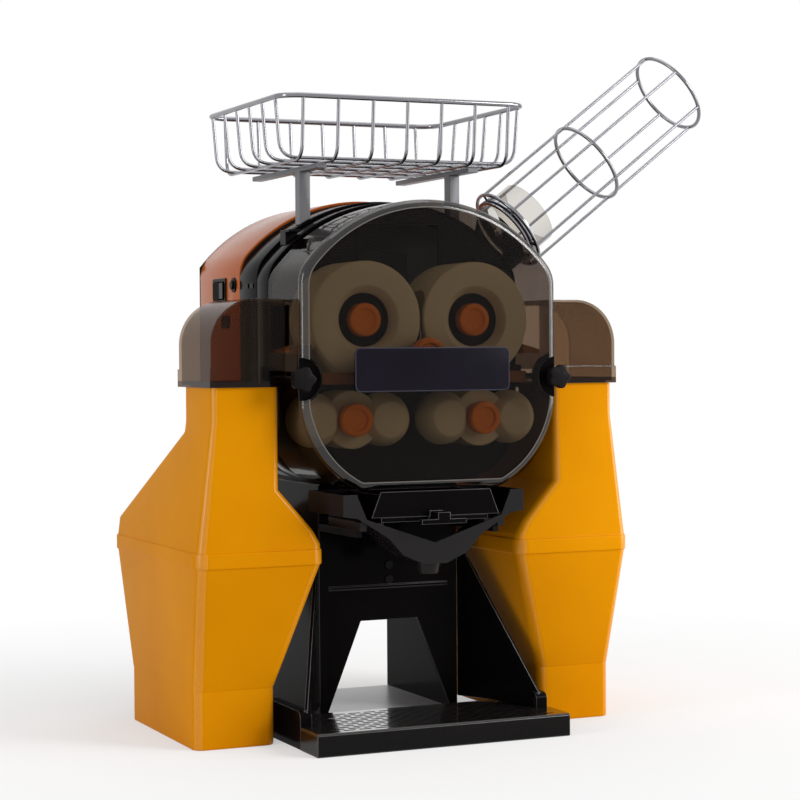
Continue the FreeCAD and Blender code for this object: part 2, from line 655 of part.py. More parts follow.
def cup_circle():
    """The circle, as centre distance and radius, that the ball rolls through in the drum.

    The drums turn at one rate, so the ball's place in the upper drum is followed through the
    mesh. The circle goes through the deepest point and the widest point at the drum's skin.
    """
    distance = s.axis_distance.value
    orbit, reach = s.ball_orbit.value, s.ball_radius.value + s.mesh_gap.value
    skin = s.upper_drum_radius.value
    mouth = 0
    for step in range(sweep_steps):
        turn = math.pi / 2 * step / sweep_steps
        ball = Vector(distance - orbit * math.cos(turn), orbit * math.sin(turn), 0)
        far = ball.Length
        if abs(far - skin) >= reach:
            continue
        spread = math.acos((skin ** 2 + far ** 2 - reach ** 2) / (2 * skin * far))
        mouth = max(mouth, turn - math.atan2(ball.y, ball.x) + spread)
    deep = distance - orbit - reach
    edge = Vector(skin * math.cos(mouth), skin * math.sin(mouth), 0)
    centre = (skin ** 2 - deep ** 2) / (2 * (edge.x - deep))
    return centre, centre - deep


def upper_cup_degrees(side):
    """At rest the lower lobes lie level; the upper cups stand by the same turn from the mesh."""
    down = centre_line_degrees(axes["upper_left"], axes["lower_left"])
    left = down - (0 - (down + 180))
    return left if side == "left" else 180 - left


def y_rod(radius, low, high, x, z):
    return Part.makeCylinder(length(radius).value, length(high).value - length(low).value,
                             Vector(length(x).value, length(low).value, length(z).value),
                             Vector(0, 1, 0))


def hex_bar(radius, low, high, x, z):
    """A hexagonal bar along Y with a flat on top."""
    points = [Vector(length(x).value + length(radius).value * math.cos(math.pi / 3 * step),
                     length(low).value,
                     length(z).value + length(radius).value * math.sin(math.pi / 3 * step))
              for step in range(7)]
    return Part.Face(Part.makePolygon(points)).extrude(
        Vector(0, length(high).value - length(low).value, 0))


def around(radius, degrees, x, z):
    turn = math.radians(degrees)
    return (length(x).value + radius * math.cos(turn), length(z).value + radius * math.sin(turn))


def make_upper_drum(name, x, z, degrees):
    """An ivory drum with two cups behind a plain front rim, and a countersunk middle."""
    drum = y_rod(s.upper_drum_radius, s.drum_front_y, s.drum_back_y, x, z)
    centre, reach = cup_circle()
    profile = s.cup_profile_radius.value
    cup_front = s.ball_flat_y - s.cup_flat_gap
    for number in range(ball_count):
        cup_x, cup_z = around(centre, degrees + 360 / ball_count * number, x, z)
        middle = Vector(cup_x, s.ball_centre_y.value, cup_z)
        ring = Part.makeTorus(reach - profile, profile, middle, Vector(0, 1, 0))
        core = Part.makeCylinder(reach - profile, 2 * profile,
                                 middle - Vector(0, profile, 0), Vector(0, 1, 0))
        cutter = ring.fuse(core)
        front = y_rod(2 * reach, s.ball_centre_y - 2 * s.cup_profile_radius, cup_front,
                      cup_x, cup_z)
        drum = drum.cut(cutter.cut(front))
    cone_back = s.drum_front_y + s.recess_cone_depth
    recess = Part.makeCone(s.recess_outer_radius.value, s.recess_inner_radius.value,
                           s.recess_cone_depth.value,
                           Vector(x.value, s.drum_front_y.value, z.value), Vector(0, 1, 0))
    pocket = y_rod(s.recess_inner_radius, cone_back - s.seat_gap,
                   s.drum_front_y + s.recess_depth, x, z)
    drum = drum.cut(recess.fuse(pocket))
    bore = hex_bar(s.hex_radius + s.hex_gap, s.drum_front_y, s.drum_back_y + s.cut_overrun, x, z)
    keep(name, shaped(name, one_solid(drum.cut(bore))))


def make_lower_drum(name, x, z):
    """A drum with two ball lobes on a hub, each lobe cut flat in front."""
    drum = y_rod(s.lower_hub_radius, s.lower_hub_front_y, s.drum_back_y, x, z)
    for number in range(ball_count):
        ball_x, ball_z = around(s.ball_orbit.value, 360 / ball_count * number, x, z)
        ball = Part.makeSphere(s.ball_radius.value, Vector(ball_x, s.ball_centre_y.value, ball_z),
                               Vector(0, 1, 0))
        front = y_rod(s.ball_radius, s.ball_centre_y - 2 * s.ball_radius, s.ball_flat_y,
                      length(ball_x), length(ball_z))
        drum = drum.fuse(ball.cut(front))
    drum = drum.cut(y_rod(s.knob_radius + s.knob_well_gap, s.drum_front_y, s.lower_hub_front_y,
                          x, z))
    bore = hex_bar(s.hex_radius + s.hex_gap, s.lower_hub_front_y - s.cut_overrun,
                   s.drum_back_y + s.cut_overrun, x, z)
    keep(name, shaped(name, one_solid(drum.cut(bore))))


def make_shaft(name, x, z, front):
    """A shaft with round journals, hexagons for the drum and gears, and a stud for the knob."""
    shaft = hex_bar(s.hex_radius, front, s.shaft_end_y, x, z)
    middle = s.bearing_plate_y + s.bearing_plate_thickness / 2
    for low, high in ((s.drum_back_y, s.front_gear_y - s.bulkhead_thickness),
                      (middle - s.journal_length / 2, s.shaft_end_y)):
        shaft = shaft.fuse(y_rod(s.shaft_radius, low, high, x, z))
    shaft = shaft.fuse(y_rod(s.stud_radius, front - s.stud_length, front, x, z))
    return shaped(f"{name}_bar", one_solid(shaft))


def gear_section(teeth, phase_degrees, x, z):
    """A spur gear's outline with straight-sided teeth; one tooth points along the phase."""
    module = s.tooth_module.value
    pitch = module * teeth / 2
    tip, root = pitch + module * tooth_tip_share, pitch - module * tooth_root_share
    half_pitch_arc = (math.pi * module / 2 - s.tooth_backlash.value) / 2
    lean = math.tan(math.radians(pressure_degrees))
    half_tip = (half_pitch_arc - (tip - pitch) * lean) / tip
    half_root = (half_pitch_arc + (pitch - root) * lean) / root
    half_at_pitch = half_pitch_arc / pitch
    points = []
    for number in range(teeth):
        middle = math.radians(phase_degrees) + 2 * math.pi * number / teeth
        for radius, turn in ((root, -half_root), (pitch, -half_at_pitch), (tip, -half_tip),
                             (tip, half_tip), (pitch, half_at_pitch), (root, half_root)):
            points.append((x.value + radius * math.cos(middle + turn),
                           z.value + radius * math.sin(middle + turn)))
    return points


def gear(teeth, phase_degrees, low, x, z):
    points = [Vector(px, low.value, pz) for px, pz in gear_section(teeth, phase_degrees, x, z)]
    return Part.Face(Part.makePolygon(points + points[:1])).extrude(
        Vector(0, s.gear_width.value, 0))


def meshed_phase(phase, teeth, start, partner_teeth, end):
    """The partner's phase, so that its gap faces the first gear's tooth on the centre line."""
    line = centre_line_degrees(start, end)
    tooth_place = teeth * (line - phase) / 360
    return line + 180 - 360 * (0.5 - tooth_place) / partner_teeth


def make_gears():
    """Upper gears in two steps, lower gears in one, all on hexagons, and the motor's pinion."""
    bore_radius = s.hex_radius + s.hex_gap
    upper_phase = 0
    phases = {"upper_left": upper_phase}
    phases["upper_right"] = meshed_phase(upper_phase, rear_teeth, axes["upper_left"],
                                         rear_teeth, axes["upper_right"])
    front_phases = {"upper_left": upper_phase, "upper_right": upper_phase}
    for side in ("left", "right"):
        x, z = axes[f"upper_{side}"]
        front_gear = gear(front_teeth, front_phases[f"upper_{side}"], s.front_gear_y, x, z)
        rear_gear = gear(rear_teeth, phases[f"upper_{side}"], s.rear_gear_y, x, z)
        hub = hex_bar(s.gear_hub_radius, s.front_gear_y + s.gear_width, s.rear_gear_y, x, z)
        bore = hex_bar(bore_radius, s.front_gear_y - s.cut_overrun,
                       s.rear_gear_y + s.gear_width + s.cut_overrun, x, z)
        cluster = front_gear.fuse(hub).fuse(rear_gear).cut(bore)
        cluster = shaped(f"gear_upper_{side}", one_solid(cluster))
        shaft = make_shaft(f"upper_shaft_{side}", x, z, s.drum_front_y + s.recess_depth)
        keep(f"upper_shaft_{side}", group(f"upper_shaft_{side}", [shaft, cluster]))

        low_x, low_z = axes[f"lower_{side}"]
        phase = meshed_phase(front_phases[f"upper_{side}"], front_teeth, (x, z),
                             front_teeth, (low_x, low_z))
        wheel = gear(front_teeth, phase, s.front_gear_y, low_x, low_z)
        wheel = wheel.cut(hex_bar(bore_radius, s.front_gear_y - s.cut_overrun,
                                  s.front_gear_y + s.gear_width + s.cut_overrun, low_x, low_z))
        wheel = shaped(f"gear_lower_{side}", one_solid(wheel))
        shaft = make_shaft(f"lower_shaft_{side}", low_x, low_z, s.lower_hub_front_y)
        keep(f"lower_shaft_{side}", group(f"lower_shaft_{side}", [shaft, wheel]))

    pinion_x, pinion_z = pinion_axis()
    phase = meshed_phase(upper_phase, rear_teeth, axes["upper_left"], pinion_teeth,
                         (pinion_x, pinion_z))
    wheel = gear(pinion_teeth, phase, s.rear_gear_y, pinion_x, pinion_z)
    stub = y_rod(s.pinion_shaft_radius, s.rear_gear_y - s.pinion_shaft_front,
                 s.rear_gear_y + s.pinion_shaft_length, pinion_x, pinion_z)
    keep("motor_pinion", shaped("motor_pinion", one_solid(wheel.fuse(stub))))


def turning_knob(name, x, z, front, depth):
    """A round orange knob with a dished face, bored for its stud."""
    body = rod(f"{name}_body", "Y", s.knob_radius, front, front + depth, (x, z))
    dish = rod(f"{name}_dish", "Y", s.knob_recess_radius, front - s.cut_overrun,
               front + s.knob_recess, (x, z))
    bore = rod(f"{name}_bore", "Y", s.stud_radius + s.fit_gap,
               front + s.knob_recess + s.knob_recess, front + depth + s.cut_overrun, (x, z))
    keep(name, less(name, body, group(f"{name}_cuts", [dish, bore])))


def make_drums():
    for side in ("left", "right"):
        x, z = axes[f"upper_{side}"]
        make_upper_drum(f"upper_drum_{side}", x, z, upper_cup_degrees(side))
        turning_knob(f"upper_knob_{side}", x, z, s.upper_knob_front_y, s.knob_depth)
        x, z = axes[f"lower_{side}"]
        make_lower_drum(f"lower_drum_{side}", x, z)
        turning_knob(f"lower_knob_{side}", x, z, s.lower_knob_front_y, s.knob_depth)


# Knife, bar and peel ejectors
def make_knife_group():
    """The blade in its wedge-shaped holder, and the bar across the front with the middle knob."""
    holder = padded("knife_holder", "XZ", s.holder_front_y, s.back_plate_y, [[
        (-s.holder_low_half, s.holder_low_z), (s.holder_low_half, s.holder_low_z),
        (s.holder_high_half, s.holder_high_z), (-s.holder_high_half, s.holder_high_z)]])
    blade_low_z = s.centre_knob_z
    pocketed(holder, "XZ", s.blade_front_y, s.blade_back_y,
             side_box([(-s.blade_half, s.blade_half, blade_low_z, s.blade_high_z)]))
    keep("knife_holder", holder)
    keep("knife", block("knife", -s.blade_half, s.blade_half, s.blade_front_y, s.blade_back_y,
                        blade_low_z, s.blade_high_z))

    bar_front = s.holder_front_y - s.bar_depth
    bar = padded("bar_plate", "XZ", bar_front, s.holder_front_y, [[
        (-s.bar_half_width, s.bar_low_z), (s.bar_half_width, s.bar_low_z),
        (s.bar_half_width, s.bar_high_z), (s.bar_tab_half, s.bar_high_z),
        (s.bar_tab_half, s.bar_tab_high_z), (-s.bar_tab_half, s.bar_tab_high_z),
        (-s.bar_tab_half, s.bar_high_z), (-s.bar_half_width, s.bar_high_z)]])
    stud_front = s.centre_knob_front_y + 2 * s.knob_recess + s.knob_recess / 4
    stud = rod("bar_stud", "Y", s.stud_radius, stud_front, s.holder_front_y,
               (nothing, s.centre_knob_z))
    keep("front_bar", fused("front_bar", [bar, stud]))
    turning_knob("centre_knob", nothing, s.centre_knob_z, s.centre_knob_front_y,
                 s.centre_knob_depth)

    ejectors = []
    for sign in (-1, 1):
        corners = [(s.wedge_tip_x * sign, s.wedge_tip_z), (s.wedge_outer_x * sign, s.wedge_top_z),
                   (s.wedge_outer_x * sign, s.wedge_low_z), (s.wedge_inner_x * sign,
                                                             s.wedge_low_z)]
        ejectors.append(padded("peel_ejector", "XZ", s.wedge_front_y, s.back_plate_y, [corners]))
    keep("peel_ejectors", group("peel_ejectors", ejectors))


# Front cover
def front_outline(inset):
    """The cover's front section, whose chin is higher and flatter than the body's."""
    half = s.body_half_width - inset
    arch = s.cover_arch_radius - inset
    shoulder = s.arch_centre_z + leg(arch, half)
    start = Vector(half.value, s.front_chin_start_z.value, 0)
    lean = inset.value * math.sqrt(0.5)
    middle = Vector(s.front_chin_mid_x.value - lean, s.front_chin_mid_z.value + lean, 0)
    end = Vector(s.front_chin_end_x.value, body_low_z.value + inset.value, 0)
    radius = Part.Arc(start, middle, end).toShape().Curve.Radius
    return [
        (s.front_chin_end_x, body_low_z + inset),
        (half, s.front_chin_start_z, length(radius), 1),
        (half, shoulder),
        (-half, shoulder, arch, 1),
        (-half, s.front_chin_start_z),
        (-s.front_chin_end_x, body_low_z + inset, length(radius), 1),
    ]


def cover_stack(wall):
    """The cover's outside, or its inside for a wall, as a loft through four sections."""
    bevel_back = s.cover_front_y + s.cover_bevel_depth
    front = s.cover_front_y + wall
    overrun = s.cut_overrun if wall.value else nothing
    sections = [
        outline_wire(front_outline(s.cover_bevel + wall), "XZ", front),
        outline_wire(front_outline(wall), "XZ", bevel_back + wall),
        outline_wire(body_outline(s.cover_arch_radius, wall), "XZ", s.cover_chin_y),
        outline_wire(body_outline(s.cover_arch_radius, wall), "XZ", s.cover_back_y + overrun),
    ]
    return Part.makeLoft(sections, True, True)


def make_cover():
    """The smoked cover: open behind and below, notched for the two cover knobs."""
    cover = cover_stack(nothing).cut(cover_stack(s.cover_wall))
    depth = s.cover_back_y.value - s.cover_front_y.value
    open_half = s.lower_axis_x - s.cover_wall
    cover = cover.cut(Part.makeBox(
        2 * open_half.value, depth + s.cut_overrun.value, 2 * s.cut_overrun.value,
        Vector(-open_half.value, (s.cover_front_y + s.cover_wall).value,
               (body_low_z - s.cut_overrun).value)))
    slot = s.cover_tail_radius + s.cover_slot_gap
    bracket_back = s.bracket_front_y + s.bracket_thickness
    for x in (-s.body_half_width, s.body_half_width):
        cover = cover.cut(y_rod(s.notch_radius, s.cover_front_y - s.cut_overrun, bracket_back,
                                x, s.notch_z))
        cover = cover.cut(y_rod(slot, s.cover_front_y, s.cover_back_y + s.cut_overrun,
                                x, s.notch_z))
    window_height = s.peel_window_high_z.value - s.peel_window_low_z.value
    window_depth = s.peel_window_back_y.value - s.peel_window_front_y.value
    cover = cover.cut(Part.makeBox(
        2 * s.lug_outer_x.value, window_depth, window_height,
        Vector(-s.lug_outer_x.value, s.peel_window_front_y.value, s.peel_window_low_z.value)))
    keep("front_cover", shaped("front_cover", one_solid(cover)))


def make_cover_fittings():
    """The bare label plate, and the brackets and captive knobs that hold the cover."""
    half, low, high, corner = s.label_half_width, s.label_low_z, s.label_high_z, s.label_corner
    keep("label_plate", padded("label_plate", "XZ", s.cover_front_y - s.label_thickness,
                               s.cover_front_y, [[
                                   (-half + corner, low), (half - corner, low),
                                   (half, low + corner, corner, 1), (half, high - corner),
                                   (half - corner, high, corner, 1), (-half + corner, high),
                                   (-half, high - corner, corner, 1), (-half, low + corner),
                                   (-half + corner, low, corner, 1)][1:]]))

    wall_x = s.body_half_width - s.cover_wall
    bracket_back = s.bracket_front_y + s.bracket_thickness
    knob_back = s.bracket_front_y - s.bracket_gap
    brackets = []
    for side, sign in (("left", -1), ("right", 1)):
        centre = s.body_half_width * sign
        inner = y_rod(s.notch_radius + s.bracket_rim, s.bracket_front_y, bracket_back,
                      centre, s.notch_z)
        outer = y_rod(s.notch_radius - s.bracket_gap, s.bracket_front_y, bracket_back,
                      centre, s.notch_z)
        reach = 2 * s.body_half_width.value
        height = 4 * s.notch_radius.value

        def inside(limit):
            low_x = -limit.value if sign < 0 else -reach
            return Part.makeBox(reach + limit.value, s.bracket_thickness.value, height,
                                Vector(low_x, s.bracket_front_y.value,
                                       s.notch_z.value - height / 2))

        bracket = inner.common(inside(wall_x)).fuse(outer.common(inside(s.bracket_outer_x)))
        hole = y_rod(s.cover_neck_radius + s.fit_gap, s.bracket_front_y - s.cut_overrun,
                     bracket_back + s.cut_overrun, centre, s.notch_z)
        brackets.append(shaped("cover_bracket", one_solid(bracket.cut(hole))))

        place = (centre, s.notch_z)
        name = f"cover_knob_{side}"
        body = fused(f"{name}_body", [
            rod(f"{name}_head", "Y", s.cover_knob_radius, s.cover_knob_front_y, knob_back, place),
            rod(f"{name}_neck", "Y", s.cover_neck_radius, s.cover_knob_front_y,
                s.cover_tail_back_y, place),
            rod(f"{name}_tail", "Y", s.cover_tail_radius, bracket_back + s.bracket_gap,
                s.cover_tail_back_y, place)])
        bore = rod(f"{name}_bore", "Y", s.cover_stud_radius + s.fit_gap, s.cover_knob_bore_y,
                   s.cover_tail_back_y + s.cut_overrun, place)
        keep(name, less(name, body, bore))
    keep("cover_brackets", group("cover_brackets", brackets))


# Orange chute and feed neck
def make_feed_parts():
    """The neck that the feed tube drops into, and the chute that leads oranges to the drums."""
    neck = feed_bar(neck_radius, -s.neck_depth - s.neck_depth, s.neck_top)
    neck = neck.cut(feed_bar(s.neck_bore, -s.neck_depth - s.neck_depth - s.neck_depth,
                             s.neck_top + s.cut_overrun))
    reach = 4 * s.neck_depth.value
    keeper = Part.makeBox(reach, reach, reach, Vector(s.neck_end_x.value, s.feed_y.value
                                                      - reach / 2, s.feed_z.value - reach / 2))
    keep("feed_neck", shaped("feed_neck", one_solid(neck.common(keeper))))

    plate_back = s.back_plate_y + s.back_plate_thickness
    chute_back = collar_back_y + s.seat_gap
    thick = s.chute_thickness
    floor = slab([(s.chute_left_x, s.chute_left_z - thick), (s.chute_right_x,
                                                             s.chute_right_z - thick),
                  (s.chute_right_x, s.chute_right_z), (s.chute_left_x, s.chute_left_z)],
                 "XZ", plate_back, chute_back)
    guide = slab([(s.chute_left_x, plate_back), (s.chute_left_x + thick, plate_back),
                  (s.chute_guide_x + thick, chute_back), (s.chute_guide_x, chute_back)],
                 "XY", s.chute_left_z - thick, s.chute_left_z + s.chute_guide_height)
    keep("orange_chute", shaped("orange_chute", one_solid(floor.fuse(guide))))


# Feed tube of wire
def feed_frame():
    """Two directions across the feed tube's axis: one level, one upwards."""
    level = Vector(0, 1, 0)
    upwards = feed_way().cross(level) * -1
    return level, upwards


def make_feed_tube():
    """Three wire rings joined by straight bars, with a sleeve that fits over the neck."""
    foot = s.foot_length
    level, upwards = feed_frame()
    tube = feed_bar(s.feed_foot, nothing - foot / 2, foot / 2)
    tube = tube.cut(feed_bar(neck_radius + s.run_gap, -foot, foot))
    stations = (nothing, s.feed_length * feed_middle_share, s.feed_length)
    for along in stations:
        tube = tube.fuse(Part.makeTorus(s.feed_radius.value, s.feed_ring_radius.value,
                                        feed_point(along), feed_way()))
    for number in range(feed_bars):
        turn = 2 * math.pi * (number + 0.5) / feed_bars
        across = level * math.cos(turn) + upwards * math.sin(turn)
        start = feed_point(nothing) + across * s.feed_radius.value
        tube = tube.fuse(Part.makeCylinder(s.feed_wire_radius.value, s.feed_length.value, start,
                                           feed_way()))
        sleeve_middle = (s.feed_foot.value + neck_radius.value + s.run_gap.value) / 2
        tube = tube.fuse(Part.makeCylinder(
            s.spoke_radius.value, s.feed_radius.value - sleeve_middle,
            feed_point(nothing) + across * sleeve_middle, across))
    keep("feed_tube", shaped("feed_tube", one_solid(tube)))


# Fruit basket
def wire_path(points, bend):
    """A wire's centre line through the points, its inner corners rounded."""
    edges = []
    start = points[0]
    for before, corner, after in zip(points, points[1:], points[2:]):
        into = (corner - before).normalize()
        away = (after - corner).normalize()
        angle = into.getAngle(away)
        setback = bend * math.tan(angle / 2)
        first, last = corner - into * setback, corner + away * setback
        inward = (away - into).normalize()
        middle = corner + inward * (bend / math.cos(angle / 2) - bend)
        edges.append(Part.LineSegment(start, first).toShape())
        edges.append(Part.Arc(first, middle, last).toShape())
        start = last
    edges.append(Part.LineSegment(start, points[-1]).toShape())
    return Part.Wire(edges)


def wire_solid(points, bend, radius):
    path = wire_path(points, bend)
    way = (points[1] - points[0]).normalize()
    circle = Part.Wire(Part.makeCircle(radius, points[0], way))
    return path.makePipeShell([circle], True, False)


def make_basket():
    """A fruit basket: a thick rim with U-shaped wires crossing under it."""
    half, front, back = s.basket_half_width.value, s.basket_front_y.value, s.basket_back_y.value
    rim_z, floor_z, taper_in = s.basket_rim_z.value, s.basket_floor_z.value, s.basket_taper.value
    corner = s.basket_corner.value
    rim_radius = s.rim_wire_radius.value
    bend = s.wire_bend.value
    corners = [Vector(half, front, rim_z), Vector(half, back, rim_z),
               Vector(-half, back, rim_z), Vector(-half, front, rim_z)]
    edges = []
    for number, here in enumerate(corners):
        into = (here - corners[number - 1]).normalize()
        after = corners[(number + 1) % 4]
        away = (after - here).normalize()
        inward = (away - into).normalize()
        edges.append(Part.Arc(here - into * corner,
                              here + inward * (corner * (math.sqrt(2) - 1)),
                              here + away * corner).toShape())
        edges.append(Part.LineSegment(here + away * corner, after - away * corner).toShape())
    rim_path = Part.Wire(edges)
    start = here + away * corner
    rim_start = rim_path.OrderedVertexes[0].Point
    rim = rim_path.makePipeShell(
        [Part.Wire(Part.makeCircle(rim_radius, rim_start,
                                   rim_path.OrderedEdges[0].tangentAt(
                                       rim_path.OrderedEdges[0].FirstParameter)))], True, False)
    basket = rim
    wires = []
    for number in range(front_wires):
        x = -half + corner + (2 * half - 2 * corner) * number / (front_wires - 1)
        wires.append([Vector(x, front, rim_z), Vector(x, front + taper_in, floor_z),
                      Vector(x, back - taper_in, floor_z), Vector(x, back, rim_z)])
    cross_z = floor_z + s.wire_cross.value
    for number in range(side_wires):
        y = front + corner + (back - front - 2 * corner) * number / (side_wires - 1)
        wires.append([Vector(-half, y, rim_z), Vector(-half + taper_in, y, cross_z),
                      Vector(half - taper_in, y, cross_z), Vector(half, y, rim_z)])
    solids = [wire_solid(points, bend, s.basket_wire_radius.value) for points in wires]
    basket = basket.fuse(solids)
    keep("basket", shaped("basket", one_solid(basket)))

    rail_top = s.basket_floor_z - s.basket_wire_radius - s.run_gap
    rail_low = rail_top - s.rail_height
    stand = []
    for sign in (-1, 1):
        low_x = s.post_x * sign - s.post_width / 2
        high_x = s.post_x * sign + s.post_width / 2
        stand.append(block("basket_rail", low_x, high_x, s.rail_front_y, s.rail_back_y,
                           rail_low, rail_top))
        post = block("basket_post", low_x, high_x, s.post_y - s.post_depth / 2,
                     s.post_y + s.post_depth / 2, s.post_low_z, rail_low)
        crown = rod("post_seat", "Y", s.collar_arch_radius + s.seat_gap, s.post_y - s.post_depth,
                    s.post_y + s.post_depth, (nothing, s.arch_centre_z))
        stand.append(less("basket_post_cut", post, crown))
    keep("basket_stand", group("basket_stand", [fused("basket_frame", stand[:2]),
                                                fused("basket_frame", stand[2:])]))


# Waste bins, their hoods and the smoked side covers
def rounded_box_wire(x0, x1, y0, y1, z, corner):
    """A rectangle with rounded corners at a height."""
    x0, x1, y0, y1, corner = (length(size) for size in (x0, x1, y0, y1, corner))
    corners = [(x1 - corner, y0), (x1, y0 + corner, corner, 1), (x1, y1 - corner),
               (x1 - corner, y1, corner, 1), (x0 + corner, y1), (x0, y1 - corner, corner, 1),
               (x0, y0 + corner), (x0 + corner, y0, corner, 1)]
    return outline_wire(corners, "XY", z)


def bin_stack(wall):
    """The right-hand bin's outside, or its inside for a wall."""
    step, corner = s.foot_step, s.bin_corner
    inset_corner = corner - wall
    low = wall
    foot = Part.makeLoft([
        rounded_box_wire(s.foot_inner_x + wall, s.foot_outer_x - wall, s.foot_front_y + wall,
                         s.foot_back_y - wall, z, inset_corner)
        for z in (low, s.foot_height + wall)], True, True)
    flare = Part.makeLoft([
        rounded_box_wire(s.foot_inner_x - step + wall, s.foot_outer_x + step - wall,
                         s.foot_front_y - step + wall, s.foot_back_y + step - wall,
                         s.foot_height + wall, inset_corner),
        rounded_box_wire(s.bin_inner_x + wall, s.bin_outer_x - wall, s.bin_front_y + wall,
                         s.bin_back_y - wall, s.bin_top_z, inset_corner)], True, True)
    return foot.fuse(flare)


def rim_block(grow, low, high):
    """A straight band round the top of the bin."""
    wire = rounded_box_wire(s.bin_inner_x - grow, s.bin_outer_x + grow, s.bin_front_y - grow,
                            s.bin_back_y + grow, low, s.bin_corner + grow)
    return Part.Face(wire).extrude(Vector(0, 0, (high - low).value))


def hood_stack(wall):
    """The right-hand hood: a side section and a front section crossed with each other."""
    overrun = s.cut_overrun if wall.value else nothing
    rim_z = s.bin_top_z + s.rim_height
    outer_x, inner_x = s.bin_outer_x - wall, s.bin_inner_x + wall
    across = [
        (inner_x, rim_z - overrun), (outer_x, rim_z - overrun),
        (s.neck_outer_x - wall, s.hood_outer_turn_z), (s.neck_outer_x - wall,
                                                       s.hood_top_z + overrun),
        (s.neck_inner_x + wall, s.hood_top_z + overrun),
        (s.neck_inner_x + wall, s.hood_inner_turn_z - wall / 2),
        (inner_x, s.hood_low_z - wall / 2)]
    along = [
        (s.bin_front_y + wall, rim_z - overrun), (s.bin_back_y - wall, rim_z - overrun),
        (s.bin_back_y - wall, s.hood_back_low_z - wall), (s.neck_back_y - wall,
                                                          s.hood_back_turn_z - wall),
        (s.neck_back_y - wall, s.hood_top_z + overrun),
        (s.neck_front_y + wall, s.hood_top_z + overrun),
        (s.neck_front_y + wall, s.hood_outer_turn_z)]
    return slab(across, "XZ", s.bin_front_y - s.cut_overrun, s.bin_back_y + s.cut_overrun).common(
        slab(along, "YZ", s.bin_inner_x - s.cut_overrun, s.bin_outer_x + s.cut_overrun))


def lid_section(grow, low_z, high_z, inner_x):
    """The smoked side cover's section with its rounded outer shoulder."""
    outer_x = s.neck_outer_x + s.lid_lip + grow
    top = high_z
    round_radius = s.lid_round + grow
    return [(inner_x, low_z), (outer_x, low_z), (outer_x, top - round_radius),
            (outer_x - round_radius, top, round_radius, 1), (inner_x, top)]


def make_right_lid():
    """A smoked cover on the bin's neck, open towards the chamber's peel window."""
    front, back = s.neck_front_y - s.lid_lip, s.lid_back_y
    wall = s.lid_wall
    shell = slab(lid_section(nothing, s.hood_top_z, s.lid_top_z, s.lid_inner_x),
                 "XZ", front, back)
    hollow = slab(lid_section(-wall, s.hood_top_z + wall, s.lid_top_z - wall,
                              s.lid_inner_x - s.cut_overrun), "XZ", front + wall, back - wall)
    step = s.lid_band_step
    outer_x = s.neck_outer_x + s.lid_lip
    band = Part.makeBox((outer_x + step - s.lid_inner_x).value,
                        (back - front + 2 * step).value, s.lid_band.value,
                        Vector(s.lid_inner_x.value, (front - step).value, s.hood_top_z.value))
    hole_low = s.hood_top_z - s.cut_overrun - s.lid_spigot
    spigot_out, spigot_in = s.bin_wall + s.run_gap, s.bin_wall + s.run_gap + wall

    def well(inset, low, high):
        return Part.makeBox((s.neck_outer_x - s.neck_inner_x - 2 * inset).value,
                            (s.neck_back_y - s.neck_front_y - 2 * inset).value,
                            (high - low).value,
                            Vector((s.neck_inner_x + inset).value, (s.neck_front_y + inset).value,
                                   low.value))

    lid = shell.fuse(band).fuse(well(spigot_out, s.hood_top_z - s.lid_spigot,
                                     s.hood_top_z + wall))
    lid = lid.cut(hollow).cut(well(spigot_in, hole_low, s.hood_top_z + wall + s.run_gap))
    return one_solid(lid.removeSplitter())


def make_bins():
    rim_z = s.bin_top_z + s.rim_height
    outside = bin_stack(nothing).fuse(rim_block(s.rim_lip, s.bin_top_z, rim_z))
    inside = bin_stack(s.bin_wall).fuse(rim_block(-s.bin_wall, s.bin_top_z, rim_z))
    inside = inside.fuse(hood_stack(s.bin_wall))
    right_bin = one_solid(outside.fuse(hood_stack(nothing)).cut(inside).removeSplitter())
    right_lid = make_right_lid()
    for side in ("left", "right"):
        for node, shape in (("waste_bin", right_bin), ("side_cover", right_lid)):
            name = f"{node}_{side}"
            keep(name, shaped(name, shape if side == "right" else mirrored(shape)))


